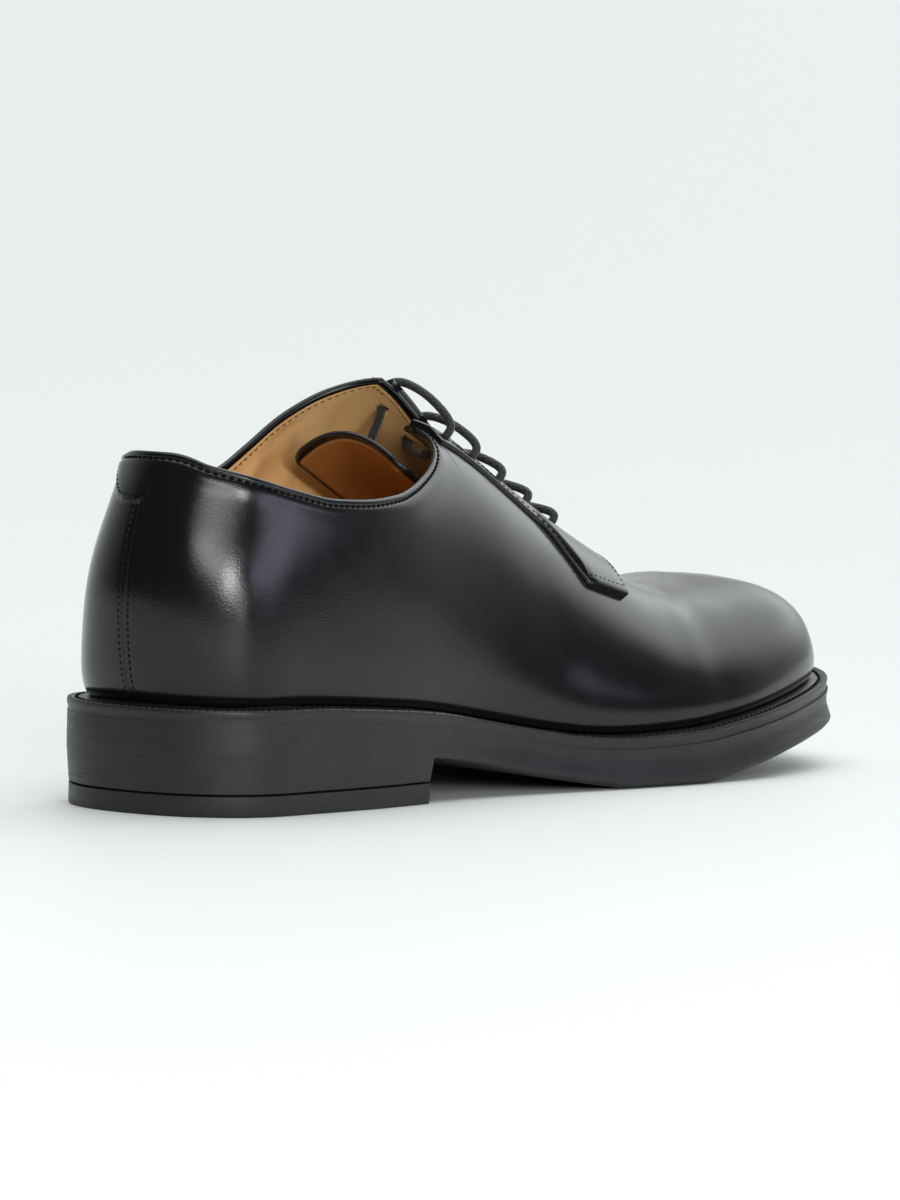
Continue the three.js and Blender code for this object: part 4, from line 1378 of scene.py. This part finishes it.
def seam_path(side):
    """Row beside the back seam, below the dog-tail."""
    t = np.linspace(0.03, 0.86, 120)
    u = np.full(len(t), side * SEAM_ROW / 36.5 * 6 / math.pi)
    points = surface(u % ROWS, t[:, None])[:, 0]
    out = normals(u % ROWS, t[:, None])[:, 0]
    keep = points[:, 2] < dog_tail_line(points[:, 0]) - 0.6
    return points[keep], out[keep]


def tail_path():
    """Row along the dog-tail's edge, from the seam to the collar on the inner side."""
    t = np.linspace(0.5, 0.99, 300)
    path, out = [], []
    for x in np.linspace(1.8, -25, 110):
        u = np.full(1, math.asin(x / 36) * 6 / math.pi) % ROWS
        points, outward = surface(u, t[None, :])[0], normals(u, t[None, :])[0]
        i = int(np.argmin(np.abs(points[:, 2] - dog_tail_line(points[:, 0]) - 1.3)))
        path.append(points[i] + outward[i] * (DOG_TAIL_RISE - 0.1))
        out.append(outward[i])
    return np.array(path), np.array(out)


def facing_rows(outer):
    """Two rows on a facing: along its outer edge and across the tab, and beside the throat."""
    first, last = facing_table["place"][[0, -1]] * SOLE_LENGTH

    def at(fine, reach):
        strip = Columns(station_at(fine, outer))
        rows = zip(strip.length, reach, strip.walked)
        t = np.array([np.interp(length - d, w, strip.shares) for length, d, w in rows])[:, None]
        return surface(strip.u, t)[:, 0], normals(strip.u, t)[:, 0]

    fine = np.linspace(first + 1.5, last - 5, 260)
    edge = np.interp(fine, facing_table["place"] * SOLE_LENGTH, facing_table["reach"]) * FACING_WIDTH
    base, out = at(fine, edge - FACING_ROW)
    body = facing_height(base[:, 1], edge - FACING_ROW, edge)
    edge_row = base + out * (body - 0.12)[:, None], out
    base, out = at(np.linspace(first + 1.5, last - 3, 200), np.full(200, FACING_ROW))
    throat_row = base + out * (FACING_GAP + FACING_THICKNESS + 0.02), out
    return edge_row, throat_row


def row(path_out, pitch, share=0.74, radius=THREAD, lift=0.0):
    path, out = path_out
    return dict(path=path, outward=out, pitch=pitch, length=pitch * share, radius=radius, lift=lift)


seam_rows = [row(seam_path(side), SEAM_PITCH, lift=-0.1) for side in (1, -1)]
stitches("upper_stitches",
         [row(collar_row(COLLAR_STITCH, 0.06, False), COLLAR_PITCH, radius=0.36),
          row(tail_path(), EDGE_PITCH)] + seam_rows, black_thread, "upper_leather")
stitches("lining_stitches", [row(collar_row(3.9, UPPER_WALL - 0.1, True), COLLAR_PITCH, radius=0.26)],
         tan_thread, "lining_leather")
stitches("facing_stitches",
         [row(pair, EDGE_PITCH, radius=0.28) for outer in (True, False) for pair in facing_rows(outer)],
         black_thread, "upper_leather")

welt_path = edge_ring(2.4, lambda x, y: welt_top(x, y) - 0.2)
welt_path = np.concatenate([welt_path, welt_path[:1]])
welt_up = np.tile([0, 0, 1.0], (len(welt_path), 1))
stitches("welt_stitches", [row((welt_path, welt_up), WELT_PITCH, radius=0.42)], black_thread,
         "sole_rubber")


# Stage: pale floor and soft studio light
KEY_POWER = 20
SPARK_POWER = 6.5
PANEL_POWER = 3
COOL_POWER = 1.1
SUN_STRENGTH = 0.95


def pale_floor():
    size = 60000
    corners = [(-size, -size, 0), (size, -size, 0), (size, size, 0), (-size, size, 0)]
    floor = new_object("floor", corners, [[0, 1, 2, 3]])
    material, _, out = shader("floor_pale", Roughness=0.55)
    out.inputs["Base Color"].default_value = (0.80, 0.825, 0.82, 1)
    out.inputs["Specular IOR Level"].default_value = 0.3
    floor.data.materials.append(material)


pale_floor()


def soft_light(name, place, target, size, power, colour=(1, 1, 1), roll=0):
    data = bpy.data.lights.new(name, "AREA")
    data.shape = "ELLIPSE"
    data.size, data.size_y = size[0] * MM, size[1] * MM
    data.energy = power
    data.color = colour
    light = bpy.data.objects.new(name, data)
    light.location = Vector(place) * MM
    direction = (Vector(target) - Vector(place)).normalized()
    turn = direction.to_track_quat("-Z", "Y").to_matrix() @ Matrix.Rotation(math.radians(roll), 3, "Z")
    light.rotation_euler = turn.to_euler()
    bpy.context.scene.collection.objects.link(light)


def sky_place(azimuth, elevation, distance=2500):
    """A place round the shoe: azimuth from the outer side towards the toe, in degrees."""
    a, e = math.radians(azimuth), math.radians(elevation)
    return [distance * math.cos(e) * math.cos(a), distance * math.cos(e) * math.sin(a),
            distance * math.sin(e) + 60]


soft_light("key_light", sky_place(-34, 16), (20, 0, 60), (2400, 460), KEY_POWER, (1, 1, 0.98), -26)
soft_light("spark_light", sky_place(-24, 11), (20, 0, 60), (420, 240), SPARK_POWER, (1, 1, 0.97))
soft_light("panel_light", sky_place(-36, 25), (20, 0, 60), (1300, 480), PANEL_POWER, (1, 1, 1))
soft_light("cool_light", sky_place(16, 11, 900), (20, 20, 60), (780, 190), COOL_POWER, (0.78, 0.8, 1.0))


def overhead_sun():
    """Very soft light from straight above, the same all over the floor."""
    data = bpy.data.lights.new("overhead_light", "SUN")
    data.energy = SUN_STRENGTH
    data.angle = math.radians(70)
    sun = bpy.data.objects.new("overhead_light", data)
    bpy.context.scene.collection.objects.link(sun)


overhead_sun()


def studio_world():
    """Surroundings: pale beyond the shoe, dark on the viewer's side, a soft glow high up."""
    world = bpy.data.worlds.new("studio")
    bpy.context.scene.world = world
    world.use_nodes = True
    tree = world.node_tree
    background = tree.nodes["Background"]
    coordinates = node(tree, "ShaderNodeTexCoord")

    def towards(direction, low, high):
        dot = node(tree, "ShaderNodeVectorMath", operation="DOT_PRODUCT")
        tree.links.new(coordinates.outputs["Generated"], dot.inputs[0])
        dot.inputs[1].default_value = direction
        return ramp(tree, dot.outputs["Value"], low, high, 0, 1)

    def blend(share, first, colour):
        mixed = node(tree, "ShaderNodeMix", data_type="RGBA", clamp_factor=True)
        tree.links.new(first, mixed.inputs["A"])
        mixed.inputs["B"].default_value = (*colour, 1)
        tree.links.new(share, mixed.inputs["Factor"])
        return mixed.outputs["Result"]

    base = mix_colours(tree, towards((-0.62, 0.78, 0), 0.0, 1.0), (0.07, 0.07, 0.075),
                       (0.79, 0.825, 0.82))
    glow = blend(towards((-0.05, 0.80, 0.60), 0.84, 0.96), base, (2.1, 2.2, 2.2))
    high = blend(towards((0, 0, 1), 0.72, 0.95), glow, (1.2, 1.25, 1.25))
    tree.links.new(high, background.inputs["Color"])
    background.inputs["Strength"].default_value = 1.0


studio_world()
bpy.context.scene.view_settings.view_transform = "Standard"
